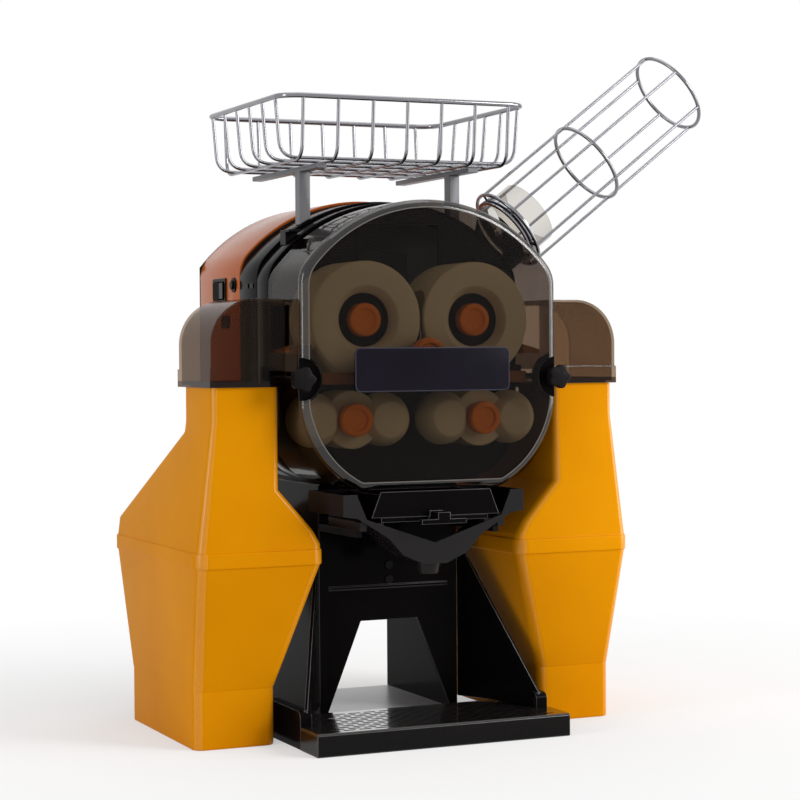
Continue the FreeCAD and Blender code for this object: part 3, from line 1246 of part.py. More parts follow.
# Stand
def make_stand():
    """The base, its rubber feet, the front panel, the wings and the rear walls."""
    low = s.foot_pad_height
    top = low + s.base_thickness
    half = s.base_half_width
    keep("base_plate", padded("base_plate", "XY", low, top,
                              [[(-half, s.base_front_y), (half, s.base_front_y),
                                (half, s.base_back_y), (-half, s.base_back_y)]]))
    pads = [rod("foot_pad", "Z", s.foot_pad_radius, nothing, low, (x, y))
            for x in (-half + s.foot_inset, half - s.foot_inset)
            for y in (s.base_front_y + s.foot_inset, s.base_back_y - s.foot_inset)]
    keep("rubber_feet", group("rubber_feet", pads))

    panel_back = s.stand_panel_y + s.stand_wall
    half = s.stand_half_width
    panel = padded("panel_plate", "XZ", s.stand_panel_y, panel_back, [[
        (-half, top), (-s.opening_low_half, top), (-s.opening_top_half, s.opening_top_z),
        (s.opening_top_half, s.opening_top_z), (s.opening_low_half, top), (half, top),
        (half, body_low_z), (-half, body_low_z)]])
    ledge = block("panel_ledge", -s.ledge_half, s.ledge_half, s.stand_panel_y - s.ledge_depth,
                  s.stand_panel_y, s.ledge_z, s.ledge_z + s.ledge_height)
    keep("stand_panel", fused("stand_panel", [panel, ledge]))
    screws = [rod("stand_screw", "Y", s.screw_radius, s.stand_panel_y - s.screw_head,
                  s.stand_panel_y, (nothing, s.stand_screw_z - s.stand_screw_pitch * number))
              for number in range(2)]
    keep("stand_screws", group("stand_screws", screws))

    walls, runners = [], []
    for sign in (-1, 1):
        inner, outer = sorted((half * sign, (half - s.stand_wall) * sign),
                              key=lambda size: size.value)
        walls.append(block("stand_side", inner, outer, panel_back, s.base_back_y, top,
                           body_low_z))
        runner_low = (s.runner_inner_x if sign > 0 else -s.runner_inner_x - s.runner_width)
        runners.append(block("tank_runner", runner_low, runner_low + s.runner_width,
                             s.runner_front_y, s.stand_panel_y, s.runner_low_z,
                             s.runner_low_z + s.runner_height))
    keep("stand_sides", group("stand_sides", walls))
    keep("tank_runners", group("tank_runners", runners))

    fence = slab([(s.fence_front_y, nothing), (s.stand_panel_y, nothing),
                  (s.stand_panel_y, s.fence_height),
                  (s.fence_front_y + s.fence_round, s.fence_height),
                  (s.fence_front_y, s.fence_height - s.fence_round, s.fence_round, 1)],
                 "YZ", s.fence_inner_x, s.fence_outer_x)
    run = Vector(s.wing_outer_x.value - s.stand_half_width.value,
                 s.wing_front_y.value - s.stand_panel_y.value, 0)
    long = run.Length
    run.normalize()
    foot = Vector(s.stand_half_width.value, s.stand_panel_y.value, 0)
    points = [foot + run * along + Vector(0, 0, height) for along, height in (
        (0, s.wing_low_z.value), (long, s.wing_low_z.value), (long, s.wing_toe_z.value),
        (s.wing_top_run.value, s.wing_high_z.value), (0, s.wing_high_z.value))]
    out = Vector(-run.y, run.x, 0)
    wing = Part.Face(Part.makePolygon(points + points[:1])).extrude(out * s.stand_wall.value)
    behind = Part.makeBox(4 * long, 4 * long, 4 * long,
                          Vector(-2 * long, s.stand_panel_y.value, -long))
    right_wing = one_solid(wing.cut(behind).fuse(fence))
    keep("stand_wings", group("stand_wings", [shaped("stand_wing", mirrored(right_wing)),
                                              shaped("stand_wing", right_wing)]))


# Juice tank and filter drawer
def tank_outline(inset):
    """The tank's section: a shallow bowl under straight rim walls."""
    rim, shoulder, bowl, floor = (s.tank_rim_half - inset, s.tank_shoulder_half - inset,
                                  s.tank_bowl_half - inset / 2, s.tank_floor_half - inset / 4)
    over = s.cut_overrun if inset.value else nothing
    right = [(floor, s.tank_floor_z + inset), (s.tank_curve_x - inset / 2, s.tank_curve_z + inset),
             (bowl, s.tank_bowl_z + inset), (shoulder, s.tank_shoulder_z + inset),
             (rim, s.tank_shoulder_z + inset + s.tank_wall), (rim, s.tank_rim_z + over)]
    return right + [(-x, z) for x, z in reversed(right)]


def heel(inset, y1):
    """What the tank leaves free behind its bowl, so that its floor slopes to the spout."""
    back = length(y1)
    return slab([(s.tank_heel_y + inset, s.tank_floor_z - s.cut_overrun + inset),
                 (back, s.tank_floor_z - s.cut_overrun + inset),
                 (back, s.tank_heel_z + inset),
                 (s.tank_heel_y + s.tank_heel_z - s.tank_bowl_z + inset,
                  s.tank_heel_z - s.tank_wall + inset)],
                "YZ", -s.tank_rim_half - s.cut_overrun, s.tank_rim_half + s.cut_overrun)


def make_tank():
    """The juice tank with a vee in its front wall, its spout, and runners beneath."""
    wall = s.tank_wall
    front, back = s.tank_front_y, s.tank_back_y
    outside = slab(tank_outline(nothing), "XZ", front, back)
    outside = outside.cut(heel(nothing, back + s.cut_overrun))
    inside = slab(tank_outline(wall), "XZ", front + wall, back - wall)
    inside = inside.cut(heel(wall, back + s.cut_overrun))
    tank = outside.cut(inside)
    vee = slab([(nothing, s.vee_tip_z), (s.vee_half, s.vee_end_z),
                (s.tank_shoulder_half, s.tank_rim_z - s.tank_wall),
                (s.tank_shoulder_half, s.tank_rim_z + s.cut_overrun),
                (-s.tank_shoulder_half, s.tank_rim_z + s.cut_overrun),
                (-s.tank_shoulder_half, s.tank_rim_z - s.tank_wall),
                (-s.vee_half, s.vee_end_z)], "XZ", front - s.cut_overrun, front + wall)
    tank = tank.cut(vee)
    spout_low = s.tank_floor_z - s.spout_length
    spout = Part.makeCone(s.spout_radius.value, s.spout_top.value,
                          (s.spout_length + wall).value,
                          Vector(0, s.spout_y.value, spout_low.value))
    tank = tank.fuse(spout)
    tank = tank.cut(Part.makeCylinder(s.spout_bore.value, (s.spout_length + 4 * wall).value,
                                      Vector(0, s.spout_y.value,
                                             (spout_low - s.cut_overrun).value)))
    skid_low = s.runner_low_z + s.runner_height + s.run_gap
    for sign in (-1, 1):
        runner_low = s.runner_inner_x if sign > 0 else -s.runner_inner_x - s.runner_width
        skid = Part.makeBox(s.runner_width.value, (s.skid_back_y - s.skid_front_y).value,
                            (s.skid_top_z - skid_low).value,
                            Vector(runner_low.value, s.skid_front_y.value, skid_low.value))
        rail_x = s.rail_inner_x if sign > 0 else -s.rail_outer_x
        rail = Part.makeBox((s.rail_outer_x - s.rail_inner_x).value,
                            (back - front - wall).value, s.rail_thick.value,
                            Vector(rail_x.value, (front + wall).value, s.rail_low_z.value))
        tank = tank.fuse(skid.cut(inside)).fuse(rail)
    keep("juice_tank", shaped("juice_tank", one_solid(tank.removeSplitter())))

    plate_back = front - s.seat_gap
    plate_front = plate_back - s.drawer_plate
    box_low = s.rail_low_z + s.rail_thick + s.run_gap
    box_half, drawer_wall = s.drawer_box_half, s.drawer_wall
    box_back = s.drawer_box_back_y
    plate = padded("drawer_plate", "XZ", plate_front, plate_back, [[
        (-s.drawer_low_half, s.drawer_low_z), (s.drawer_low_half, s.drawer_low_z),
        (s.drawer_top_half, s.drawer_top_z), (-s.drawer_top_half, s.drawer_top_z)]])
    tray = less("drawer_box_shell",
                block("drawer_box", -box_half, box_half, plate_back, box_back, box_low,
                      s.drawer_box_high_z),
                block("drawer_box_space", -box_half + drawer_wall, box_half - drawer_wall,
                      plate_back + drawer_wall, box_back - drawer_wall,
                      box_low - s.cut_overrun, s.drawer_box_high_z + s.cut_overrun))
    ring_half = box_half - drawer_wall
    ring = less("mesh_ledge",
                block("mesh_ledge_plate", -ring_half, ring_half, plate_back + drawer_wall,
                      box_back - drawer_wall, box_low, box_low + drawer_wall),
                block("mesh_ledge_space", -ring_half + s.rail_thick, ring_half - s.rail_thick,
                      plate_back + drawer_wall + s.rail_thick,
                      box_back - drawer_wall - s.rail_thick, box_low - s.cut_overrun,
                      box_low + s.cut_overrun))
    handle_low = s.drawer_low_z - s.handle_height - s.handle_depth / 4
    bar = block("drawer_bar", -s.handle_half, s.handle_half, s.handle_front_y,
                s.handle_front_y + s.handle_depth, handle_low, handle_low + s.handle_height)
    stem = block("drawer_stem", -s.handle_stem_half, s.handle_stem_half, s.handle_front_y,
                 plate_back, handle_low, s.drawer_low_z + s.handle_height)
    keep("filter_drawer", fused("filter_drawer", [plate, tray, ring, bar, stem]))

    mesh_low = box_low + drawer_wall
    holes = []
    pitch = 4 * s.mesh_thickness.value
    mesh_half = ring_half.value - s.seat_gap.value
    y0 = (plate_back + drawer_wall + s.seat_gap).value
    y1 = (box_back - drawer_wall - s.seat_gap).value
    hole = pitch / 4
    column_count = int((mesh_half - 2 * hole - s.rail_thick.value) // pitch)
    row_count = int((y1 - y0 - 4 * hole - 2 * s.rail_thick.value) // pitch)
    for row in range(row_count):
        y = (y0 + y1) / 2 + (row - (row_count - 1) / 2) * pitch
        for column in range(-column_count, column_count + 1):
            holes.append(Part.Wire(Part.makeCircle(hole, Vector(column * pitch, y,
                                                                mesh_low.value))))
    edge = Part.makePolygon([Vector(x, y, mesh_low.value) for x, y in (
        (-mesh_half, y0), (mesh_half, y0), (mesh_half, y1), (-mesh_half, y1), (-mesh_half, y0))])
    plate = Part.Face([edge] + holes)
    plate.validate()
    mesh = plate.extrude(Vector(0, 0, s.mesh_thickness.value))
    keep("filter_mesh", shaped("filter_mesh", one_solid(mesh)))


# Drip tray and its grid
def tray_outline(inset):
    front, rear = s.tray_half_width - inset, s.tray_rear_half - inset
    step = s.tray_step_y - inset
    return [(-front, s.tray_front_y + inset), (front, s.tray_front_y + inset), (front, step),
            (rear, step), (rear, s.tray_back_y - inset), (-rear, s.tray_back_y - inset),
            (-rear, step), (-front, step)]


def make_tray():
    """A T-shaped drip tray under a slotted grid."""
    tray = padded("drip_tray", "XY", nothing, s.tray_height, [tray_outline(nothing)])
    pocketed(tray, "XY", s.tray_wall, s.tray_height + s.cut_overrun, [tray_outline(s.tray_wall)])
    keep("drip_tray", tray)

    half_long, half_wide = s.slot_length.value / 2, s.slot_width.value / 2
    z = s.tray_height.value
    margin = s.grid_margin.value + s.grid_inset.value
    slots = []
    y = s.tray_front_y.value + margin + half_wide
    row = 0
    while y + half_wide < s.tray_back_y.value - margin:
        in_front = y + half_wide < s.tray_step_y.value - margin
        limit = (s.tray_half_width if in_front else s.tray_rear_half).value - margin - half_long
        pitch = s.slot_pitch_x.value
        shift = pitch / 2 if row % 2 else 0
        count = int((limit - shift) // pitch)
        places = {number * pitch + shift for number in range(count + 1)}
        places |= {-place for place in places}
        straddles = (y + half_wide > s.tray_step_y.value - margin
                     and y - half_wide < s.tray_step_y.value + s.tray_wall.value)
        for x in sorted(places):
            if straddles and abs(x) > s.tray_rear_half.value - margin - half_long:
                continue
            slots.append(Part.makePolygon([Vector(x + dx, y + dy, z) for dx, dy in (
                (-half_long, -half_wide), (half_long, -half_wide), (half_long, half_wide),
                (-half_long, half_wide), (-half_long, -half_wide))]))
        y += s.slot_pitch_y.value
        row += 1
    face = Part.Face([outline_wire(tray_outline(s.grid_inset), "XY", s.tray_height)] + slots)
    face.validate()
    grid = face.extrude(Vector(0, 0, s.grid_thickness.value))
    keep("drip_grid", shaped("drip_grid", one_solid(grid)))


# Switches and small parts on the left side
def make_side_parts():
    """Rocker switch, stop button, dark window and lamps on the machine's left side."""
    skin = -s.body_half_width
    half_y, half_z = s.switch_half_length, s.switch_half_height
    ring_y, ring_z = half_y + s.bezel_opening_gap, half_z + s.bezel_opening_gap
    wide = s.bezel_width
    bezel = padded("switch_bezel", "YZ", skin - s.bezel_proud, skin, side_box([
        (s.switch_y - ring_y - wide, s.switch_y + ring_y + wide,
         s.switch_z - ring_z - wide, s.switch_z + ring_z + wide),
        (s.switch_y - ring_y, s.switch_y + ring_y, s.switch_z - ring_z, s.switch_z + ring_z)]))
    rocker = padded("rocker_body", "XY", s.switch_z - half_z, s.switch_z + half_z, [[
        (skin - s.switch_proud, s.switch_y - half_y), (skin + s.switch_depth - s.switch_proud,
                                                       s.switch_y - half_y),
        (skin + s.switch_depth - s.switch_proud, s.switch_y + half_y),
        (skin - s.switch_proud, s.switch_y + half_y),
        (skin - s.bezel_proud, s.switch_y)]])
    keep("rocker_switch", fused("rocker_switch", [rocker] + rocker_pins(s.rocker_pin_radius,
                                                                       s.rocker_pin_reach)))
    place = (s.button_y, s.button_z)
    keep("stop_button", rod("stop_button", "X", s.button_radius, skin - s.button_proud,
                            skin - s.button_proud + s.button_depth, place))
    ring = less("button_ring",
                rod("button_ring_plate", "X", s.button_radius + s.run_gap + s.button_ring,
                    skin - s.bezel_proud, skin, place),
                rod("button_ring_hole", "X", s.button_radius + s.fit_gap,
                    skin - s.cut_overrun, skin + s.cut_overrun, place))
    keep("switch_bezels", group("switch_bezels", [bezel, ring]))
    window = block("side_window", skin - s.window_thickness, skin,
                   s.window_y - s.window_half_length, s.window_y + s.window_half_length,
                   s.window_z - s.window_half_height, s.window_z + s.window_half_height)
    lamps = [block("side_lamp", skin - s.lamp_thickness, skin,
                   s.lamp_y - s.lamp_pitch * number - s.lamp_half_length,
                   s.lamp_y - s.lamp_pitch * number + s.lamp_half_length,
                   s.lamp_z - s.lamp_half_height, s.lamp_z + s.lamp_half_height)
             for number in (0, 2)]
    keep("side_lamps", group("side_lamps", lamps + [window]))

    low_x = s.sensor_x - s.sensor_width / 2
    high_x = s.sensor_x + s.sensor_width / 2
    top = s.arch_centre_z + leg(s.frame_arch_radius, s.sensor_x) + s.sensor_height
    sensor = fused("cover_sensor_blank", [
        block("sensor_body", low_x, high_x, s.sensor_y, s.sensor_y + s.sensor_depth,
              s.arch_centre_z, top),
        block("sensor_flap", low_x, high_x, s.sensor_y - s.sensor_flap_run, s.sensor_y,
              top - s.sensor_flap, top)])
    crown = rod("sensor_seat", "Y", s.frame_arch_radius + s.seat_gap,
                s.sensor_y - s.sensor_flap_run - s.cut_overrun,
                s.sensor_y + s.sensor_depth + s.cut_overrun, (nothing, s.arch_centre_z))
    keep("cover_sensor", less("cover_sensor", sensor, crown))


# Rear parts
def make_rear_parts():
    """Mains inlet, panel screws, gearbox, motor and control box."""
    inlet_back = panel_back_y + s.inlet_proud
    inlet_front = inlet_back - s.inlet_depth
    x, z = s.inlet_x, s.inlet_z
    shell = block("inlet_block", x - s.inlet_half_width, x + s.inlet_half_width, inlet_front,
                  inlet_back, z - s.inlet_half_height, z + s.inlet_half_height)
    space = block("inlet_space", x - s.inlet_half_width + s.inlet_wall,
                  x + s.inlet_half_width - s.inlet_wall, inlet_front + s.inlet_wall,
                  inlet_back + s.cut_overrun, z - s.inlet_half_height + s.inlet_wall,
                  z + s.inlet_half_height - s.inlet_wall)
    socket = less("inlet_socket", shell, space)
    pins = [rod("inlet_pin", "Y", s.inlet_pin_radius, inlet_front + s.inlet_wall,
                inlet_front + s.inlet_wall + s.inlet_pin_length,
                (x + s.inlet_pin_pitch * number, z)) for number in (-1, 0, 1)]
    keep("mains_inlet", fused("mains_inlet", [socket] + pins))

    screw_inset = 2 * s.panel_screw_radius
    places = [(s.body_half_width - screw_inset, s.arch_centre_z + s.axis_distance),
              (s.lower_axis_x - screw_inset, body_low_z + screw_inset),
              (s.lower_axis_x - screw_inset, s.arch_centre_z + leg(
                  s.housing_arch_radius - screw_inset - screw_inset, s.lower_axis_x))]
    screws = [rod("panel_screw", "Y", s.panel_screw_radius, panel_back_y,
                  panel_back_y + s.screw_head, (px * sign, pz))
              for px, pz in places for sign in (-1, 1)]
    keep("panel_screws", group("panel_screws", screws))

    pinion_x, pinion_z = pinion_axis()
    bearing_back = s.bearing_plate_y + s.bearing_plate_thickness
    half = s.gearbox_half_width
    box = block("gearbox_block", pinion_x - half, pinion_x + half, bearing_back,
                bearing_back + s.gearbox_depth, pinion_z - s.gearbox_low,
                pinion_z + s.gearbox_high)
    bore = rod("gearbox_bore", "Y", s.pinion_shaft_radius + s.journal_gap,
               bearing_back - s.cut_overrun, bearing_back + s.motor_bore_depth,
               (pinion_x, pinion_z))
    gearbox = less("gearbox", box, bore)
    motor_front = bearing_back + s.gearbox_depth
    motor = rod("drive_motor", "Y", s.motor_radius, motor_front,
                motor_front + s.motor_length, (pinion_x, pinion_z))
    keep("gear_motor", fused("gear_motor", [gearbox, motor]))
    keep("control_box", block("control_box", s.control_x, s.control_x + s.control_width,
                              housing_back_y - s.control_depth, housing_back_y,
                              s.control_low_z, s.control_low_z + s.control_height))


make_front_frame()
make_collar()
make_housing()
make_rear_panel()
make_plates()
make_bushings()
make_drums()
make_gears()
make_knife_group()
make_cover()
make_cover_fittings()
make_feed_parts()
make_feed_tube()
make_basket()
make_bins()
make_stand()
make_tank()
make_tray()
make_side_parts()
make_rear_parts()

doc.recompute()
for feature in doc.Objects:
    if set(feature.State) & {"Invalid", "Error"}:
        raise ValueError(f"{feature.Label} did not compute: {feature.State}")

os.makedirs("parts", exist_ok=True)
for node, feature in parts.items():
    shape = feature.Shape
    if shape.isNull() or not shape.isValid() or not shape.Solids:
        raise ValueError(f"{node} has no valid solid")
    shape.exportStep(f"parts/{node}.step")
print(len(parts), "sub-parts written")
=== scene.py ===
import json
import math

import bmesh
import bpy
import numpy as np
from mathutils import Matrix, Vector

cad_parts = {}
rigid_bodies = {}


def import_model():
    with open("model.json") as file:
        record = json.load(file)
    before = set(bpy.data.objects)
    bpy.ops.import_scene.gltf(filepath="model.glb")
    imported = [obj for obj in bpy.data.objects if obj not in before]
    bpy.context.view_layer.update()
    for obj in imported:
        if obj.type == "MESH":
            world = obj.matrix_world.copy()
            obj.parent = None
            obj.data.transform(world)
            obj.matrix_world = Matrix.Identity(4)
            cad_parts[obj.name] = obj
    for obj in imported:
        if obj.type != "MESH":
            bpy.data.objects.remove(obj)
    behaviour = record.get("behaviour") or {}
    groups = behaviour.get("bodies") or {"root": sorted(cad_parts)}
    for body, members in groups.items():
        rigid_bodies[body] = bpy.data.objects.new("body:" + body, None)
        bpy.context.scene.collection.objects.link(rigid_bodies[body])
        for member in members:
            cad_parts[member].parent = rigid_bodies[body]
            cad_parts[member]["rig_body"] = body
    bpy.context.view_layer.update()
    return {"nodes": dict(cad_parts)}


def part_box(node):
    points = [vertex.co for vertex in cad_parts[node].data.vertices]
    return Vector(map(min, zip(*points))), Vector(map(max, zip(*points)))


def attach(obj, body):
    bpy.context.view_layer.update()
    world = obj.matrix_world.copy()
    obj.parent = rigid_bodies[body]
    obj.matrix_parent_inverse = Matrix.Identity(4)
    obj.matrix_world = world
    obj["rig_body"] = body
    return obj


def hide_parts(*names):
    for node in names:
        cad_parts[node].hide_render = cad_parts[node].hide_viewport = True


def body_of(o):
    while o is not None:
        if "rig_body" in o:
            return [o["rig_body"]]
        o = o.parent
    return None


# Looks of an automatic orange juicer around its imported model. Shapes are worked out in
# millimetres, with X to the right, Y to the back and Z up, and become metres in makeMesh.
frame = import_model()
print("frame loaded,", len(frame["nodes"]), "nodes")
mm = 0.001


# Materials
def linear(hexColour):
    # an sRGB hex value as linear red, green, blue and 1
    part = np.array([int(hexColour[k:k + 2], 16) for k in (1, 3, 5)]) / 255
    low, high = part / 12.92, ((part + 0.055) / 1.055) ** 2.4
    return (*(float(v) for v in np.where(part <= 0.04045, low, high)), 1.0)


def add(tree, kind, settings=None, links=None):
    # one node with its settings, by socket or by attribute, and its incoming links
    node = tree.nodes.new(kind)
    for key, value in (settings or {}).items():
        value = linear(value) if str(value)[:1] == "#" else value
        if isinstance(key, int) or key in node.inputs:
            node.inputs[key].default_value = value
        else:
            setattr(node, key, value)
    for key, source in (links or {}).items():
        tree.links.new(source, node.inputs[key])
    return node


def startMaterial(name):
    # an empty material, the object's own coordinates and the output
    material = bpy.data.materials.new(name)
    material.use_nodes = True
    tree = material.node_tree
    tree.nodes.clear()
    place = add(tree, "ShaderNodeTexCoord").outputs["Object"]
    return material, tree, place, add(tree, "ShaderNodeOutputMaterial")


def span(tree, source, low, high, toLow, toHigh):
    # a value between low and high, stretched to run from toLow to toHigh
    return add(tree, "ShaderNodeMapRange",
               {"From Min": low, "From Max": high, "To Min": toLow, "To Max": toHigh},
               {"Value": source}).outputs["Result"]


def between(tree, factor, first, second):
    # a colour between two, by a pattern's value
    return add(tree, "ShaderNodeMix", {"data_type": "RGBA", 6: first, 7: second},
               {0: factor}).outputs[2]


def moulded(name, base, shade, rough, grainMm=6.0, grain=0.03, gloss=0.15, coat=0.0):
    # moulded plastic: the melt's slow flow shifts its shade, and the skin is never quite flat.
    # A satin tool's texture is about 0.1 mm, too fine to show, so it is drawn 1.5 to 3 mm wide;
    # a polished tool leaves waves of 20 to 40 mm, which bend the reflections, and edges have
    # waves of 6 to 8 mm
    material, tree, place, out = startMaterial(name)
    flow = add(tree, "ShaderNodeTexNoise", {"Scale": 1 / (180 * mm), "Detail": 3.0},
               {"Vector": place}).outputs["Fac"]
    skin = add(tree, "ShaderNodeTexNoise", {"Scale": 1 / (grainMm * mm), "Detail": 2.0},
               {"Vector": place}).outputs["Fac"]
    bump = add(tree, "ShaderNodeBump", {"Strength": grain, "Distance": 0.2 * mm},
               {"Height": skin})
    shader = add(tree, "ShaderNodeBsdfPrincipled",
                 {"IOR": 1.53, "Specular IOR Level": gloss, "Coat Weight": coat,
                  "Coat Roughness": 0.05},
                 {"Base Color": between(tree, span(tree, flow, 0.35, 0.65, 0, 1), base, shade),
                  "Roughness": span(tree, skin, 0.3, 0.7, rough, rough + 0.06),
                  "Normal": bump.outputs["Normal"]})
    tree.links.new(shader.outputs["BSDF"], out.inputs["Surface"])
    return material


def metal(name, base, shade, rough, metallic=1.0, lineMm=1.2, stretch=(1, 1, 1)):
    # drawn, brushed or painted metal: a pattern lineMm wide shifts its shade and gloss. Paint's
    # grain is too fine to show, so it is drawn 1.2 mm wide. Stretch squeezes the pattern into
    # brushed lines at their real 0.1 mm, of which only the average shows at this distance
    material, tree, place, out = startMaterial(name)
    turned = add(tree, "ShaderNodeMapping", {"Scale": stretch}, {"Vector": place})
    lines = add(tree, "ShaderNodeTexNoise", {"Scale": 1 / (lineMm * mm), "Detail": 2.0},
                {"Vector": turned.outputs["Vector"]}).outputs["Fac"]
    shader = add(tree, "ShaderNodeBsdfPrincipled", {"Metallic": metallic},
                 {"Base Color": between(tree, lines, base, shade),
                  "Roughness": span(tree, lines, 0.3, 0.7, rough, rough + 0.08)})
    tree.links.new(shader.outputs["BSDF"], out.inputs["Surface"])
    return material


def smoked(name, tint, body, share, edge, rough=0.03, gloss=0.5):
    # smoked acrylic: part of the light comes through brown, the rest mirrors off dark gloss,
    # more of it where the sheet turns away; its gloss drifts slowly over 140 mm
    material, tree, place, out = startMaterial(name)
    clear = add(tree, "ShaderNodeBsdfTransparent", {"Color": tint})
    tide = add(tree, "ShaderNodeTexNoise", {"Scale": 1 / (140 * mm), "Detail": 1.0},
               {"Vector": place}).outputs["Fac"]
    mirror = add(tree, "ShaderNodeBsdfPrincipled",
                 {"Base Color": body, "IOR": 1.49, "Specular IOR Level": gloss},
                 {"Roughness": span(tree, tide, 0.3, 0.7, rough, rough + 0.03)})
    facing = add(tree, "ShaderNodeLayerWeight", {"Blend": 0.2}).outputs["Facing"]
    mixed = add(tree, "ShaderNodeMixShader", None,
                {0: span(tree, facing, 0.0, 1.0, share, edge),
                 1: clear.outputs["BSDF"], 2: mirror.outputs["BSDF"]})
    tree.links.new(mixed.outputs["Shader"], out.inputs["Surface"])
    return material


finish = {
    # ABS, injection moulded: satin skin with soft wide highlights on the bins
    "amberAbs": moulded("ABS, moulded, amber satin", "#DE9003", "#D68802", 0.34, 3.0, 0.03, 0.015),
    # the same plastic on the bins' rounded corners, where the tool polishes it
    # its colour is a touch lighter than the bins': a painted highlight
    "amberCornerHighlight": moulded("ABS, moulded, amber polished corner", "#E39408", "#DC8C04", 0.22,
                           3.0, 0.03, 0.35),
    # ABS, moulded in a polished tool: sharp pale reflections on the housing and the frame
    "orangeAbs": moulded("ABS, moulded and polished, orange", "#B85C1A", "#AE5414", 0.16, 40.0,
                         0.03, 0.12),
    "blackAbs": moulded("ABS, moulded and polished, black", "#0A0808", "#0E0B0C", 0.12, 30.0,
                        0.03, 0.02),
    # ABS, moulded in a satin tool: an even grey sheen on knobs, bezels and inner parts
    "blackSatin": moulded("ABS, moulded, black satin", "#100E0E", "#161314", 0.34, 2.0, 0.08,
                          0.06),
    # ABS, polished: the tray's walls mirror the floor, the grid's bars catch the lamps, and
    # the tank shows a soft grey where it faces them
    "trayAbs": moulded("ABS, moulded and polished, black tray", "#0A0909", "#0F0D0D", 0.16, 30.0,
                       0.03, 0.12),
    "gridAbs": moulded("ABS, moulded, grey grid", "#1D1B1A", "#191716", 0.14, 2.0,
                       0.03, 0.8, 0.6),
    "tankAbs": moulded("ABS, moulded, charcoal tank", "#1B191A", "#201E1F", 0.16, 30.0, 0.03,
                       0.14),
    # the edges of the black mouldings: a lighter grey that is a painted highlight line, and
    # glossier
    "blackEdgeHighlight": moulded("ABS, moulded, rubbed black edge", "#2E2C2C", "#272525", 0.18, 6.0,
                         0.03, 0.5),
    # PMMA sheet, pressed: dark mirror in front, brown window behind
    "smokedCover": smoked("PMMA, pressed, smoked", "#DDD6D1", "#060403", 0.12, 0.8),
    "smokedLid": smoked("PMMA, moulded, smoked brown", "#DACBBB", "#0A0605", 0.12, 0.75),
    "smokedBand": smoked("PMMA, moulded, smoked double wall", "#B79F8C", "#150A07", 0.3, 0.8),
    # the cover's sheet where it is bent: more of the room shows
    "smokedBend": smoked("PMMA, pressed, smoked bend", "#D6CFCA", "#0A0706", 0.6, 0.9,
                         0.08, 1.0),
    # its arrises and the notches' front edges: a paler grey that is a painted highlight line
    "arrisPaintedHighlight": moulded("PMMA arris, painted highlight", "#5E564F", "#544C46", 0.15, 8.0, 0.02, 0.5,
                             0.5),
    # acetal, turned: waxy and even, with a faint grain left by the tool
    "ivoryAcetal": moulded("acetal, turned, ivory", "#D6CDA8", "#CCC29C", 0.38, 1.5, 0.05),
    # nylon, moulded: opaque and softly shining on the knobs, the front bar and the ejectors
    "orangeNylon": moulded("nylon, moulded, orange", "#F48D20", "#E8821A", 0.33, 2.0, 0.05),
    "brownNylon": moulded("nylon, moulded, brown", "#8F5A2C", "#7F4C22", 0.38, 2.0, 0.05),
    # printed laminate: a near-black plum face, flat and dull; its pale rim is a painted highlight
    "plumLaminate": moulded("laminate, printed, dark plum", "#14111A", "#18151F", 0.20, 20.0,
                            0.02, 0.05),
    "labelRimHighlight": moulded("laminate rim, painted pale highlight", "#33313F", "#2C2A36", 0.35, 2.0, 0.03),
    # polycarbonate, tinted: a window and two small lamps that look black when they are off
    "darkWindow": moulded("polycarbonate, dark window", "#060508", "#09080C", 0.10, 20.0, 0.02,
                          0.04),
    # PMMA tube, extruded: clear, so that only its edges show
    "clearNeck": smoked("PMMA, extruded, clear", "#F2F0ED", "#1A1613", 0.03, 0.4),
    # rubber and powder coat: both matt, the rubber blacker and rougher
    "rubber": moulded("rubber, moulded, black", "#131313", "#1A1A1A", 0.72, 1.5, 0.3),
    "darkBox": moulded("steel sheet, dark powder coat", "#1B1B1D", "#222225", 0.48, 1.5, 0.12),
    # steel wire, chrome plated: it mirrors the room, and its shade drifts over 30 mm
    "chromeWire": metal("steel wire, chrome plated", "#8A8A8E", "#7A7A7F", 0.10, 1.0, 30.0),
    # stainless steel, brushed in level lines: soft, dulled highlights on shafts, knife and mesh
    "steel": metal("stainless steel, brushed", "#A4A4A7", "#8C8C90", 0.24, 1.0, 1.2, (1, 1, 12)),
    # painted steel: the basket's stand in dull grey, the base plate in a pale shiny enamel
    "greyPaint": metal("steel, grey powder coat", "#6A6A6D", "#626266", 0.40, 0.3),
    "paleEnamel": metal("steel, pale grey enamel", "#D2D2D4", "#C6C6C9", 0.30, 0.0),
}
print("materials made:", len(finish))


# Shape tools
def arc(x, z, radius, start, end, count):
    # points on a circle from one angle to another, in degrees
    turn = np.radians(np.linspace(start, end, count))
    return np.stack([x + radius * np.cos(turn), z + radius * np.sin(turn)], -1)


def softened(points, setback, steps=4, closed=False):
    # each corner becomes a parabola between two points set back along its two legs
    points = np.asarray(points, float)
    before, after = np.roll(points, 1, 0), np.roll(points, -1, 0)
    legIn, legOut = before - points, after - points
    longIn = np.linalg.norm(legIn, axis=1, keepdims=True)
    longOut = np.linalg.norm(legOut, axis=1, keepdims=True)
    back = np.minimum(np.asarray(setback, float).reshape(-1, 1),
                      0.48 * np.minimum(longIn, longOut))  # never past half a leg
    first = points + legIn / np.maximum(longIn, 1e-9) * back
    last = points + legOut / np.maximum(longOut, 1e-9) * back
    t = np.linspace(0, 1, steps)[None, :, None]
    curve = ((1 - t) ** 2 * first[:, None] + 2 * t * (1 - t) * points[:, None]
             + t ** 2 * last[:, None])
    if closed:
        return curve.reshape(-1, points.shape[1])
    return np.concatenate([points[:1], curve[1:-1].reshape(-1, points.shape[1]), points[-1:]])


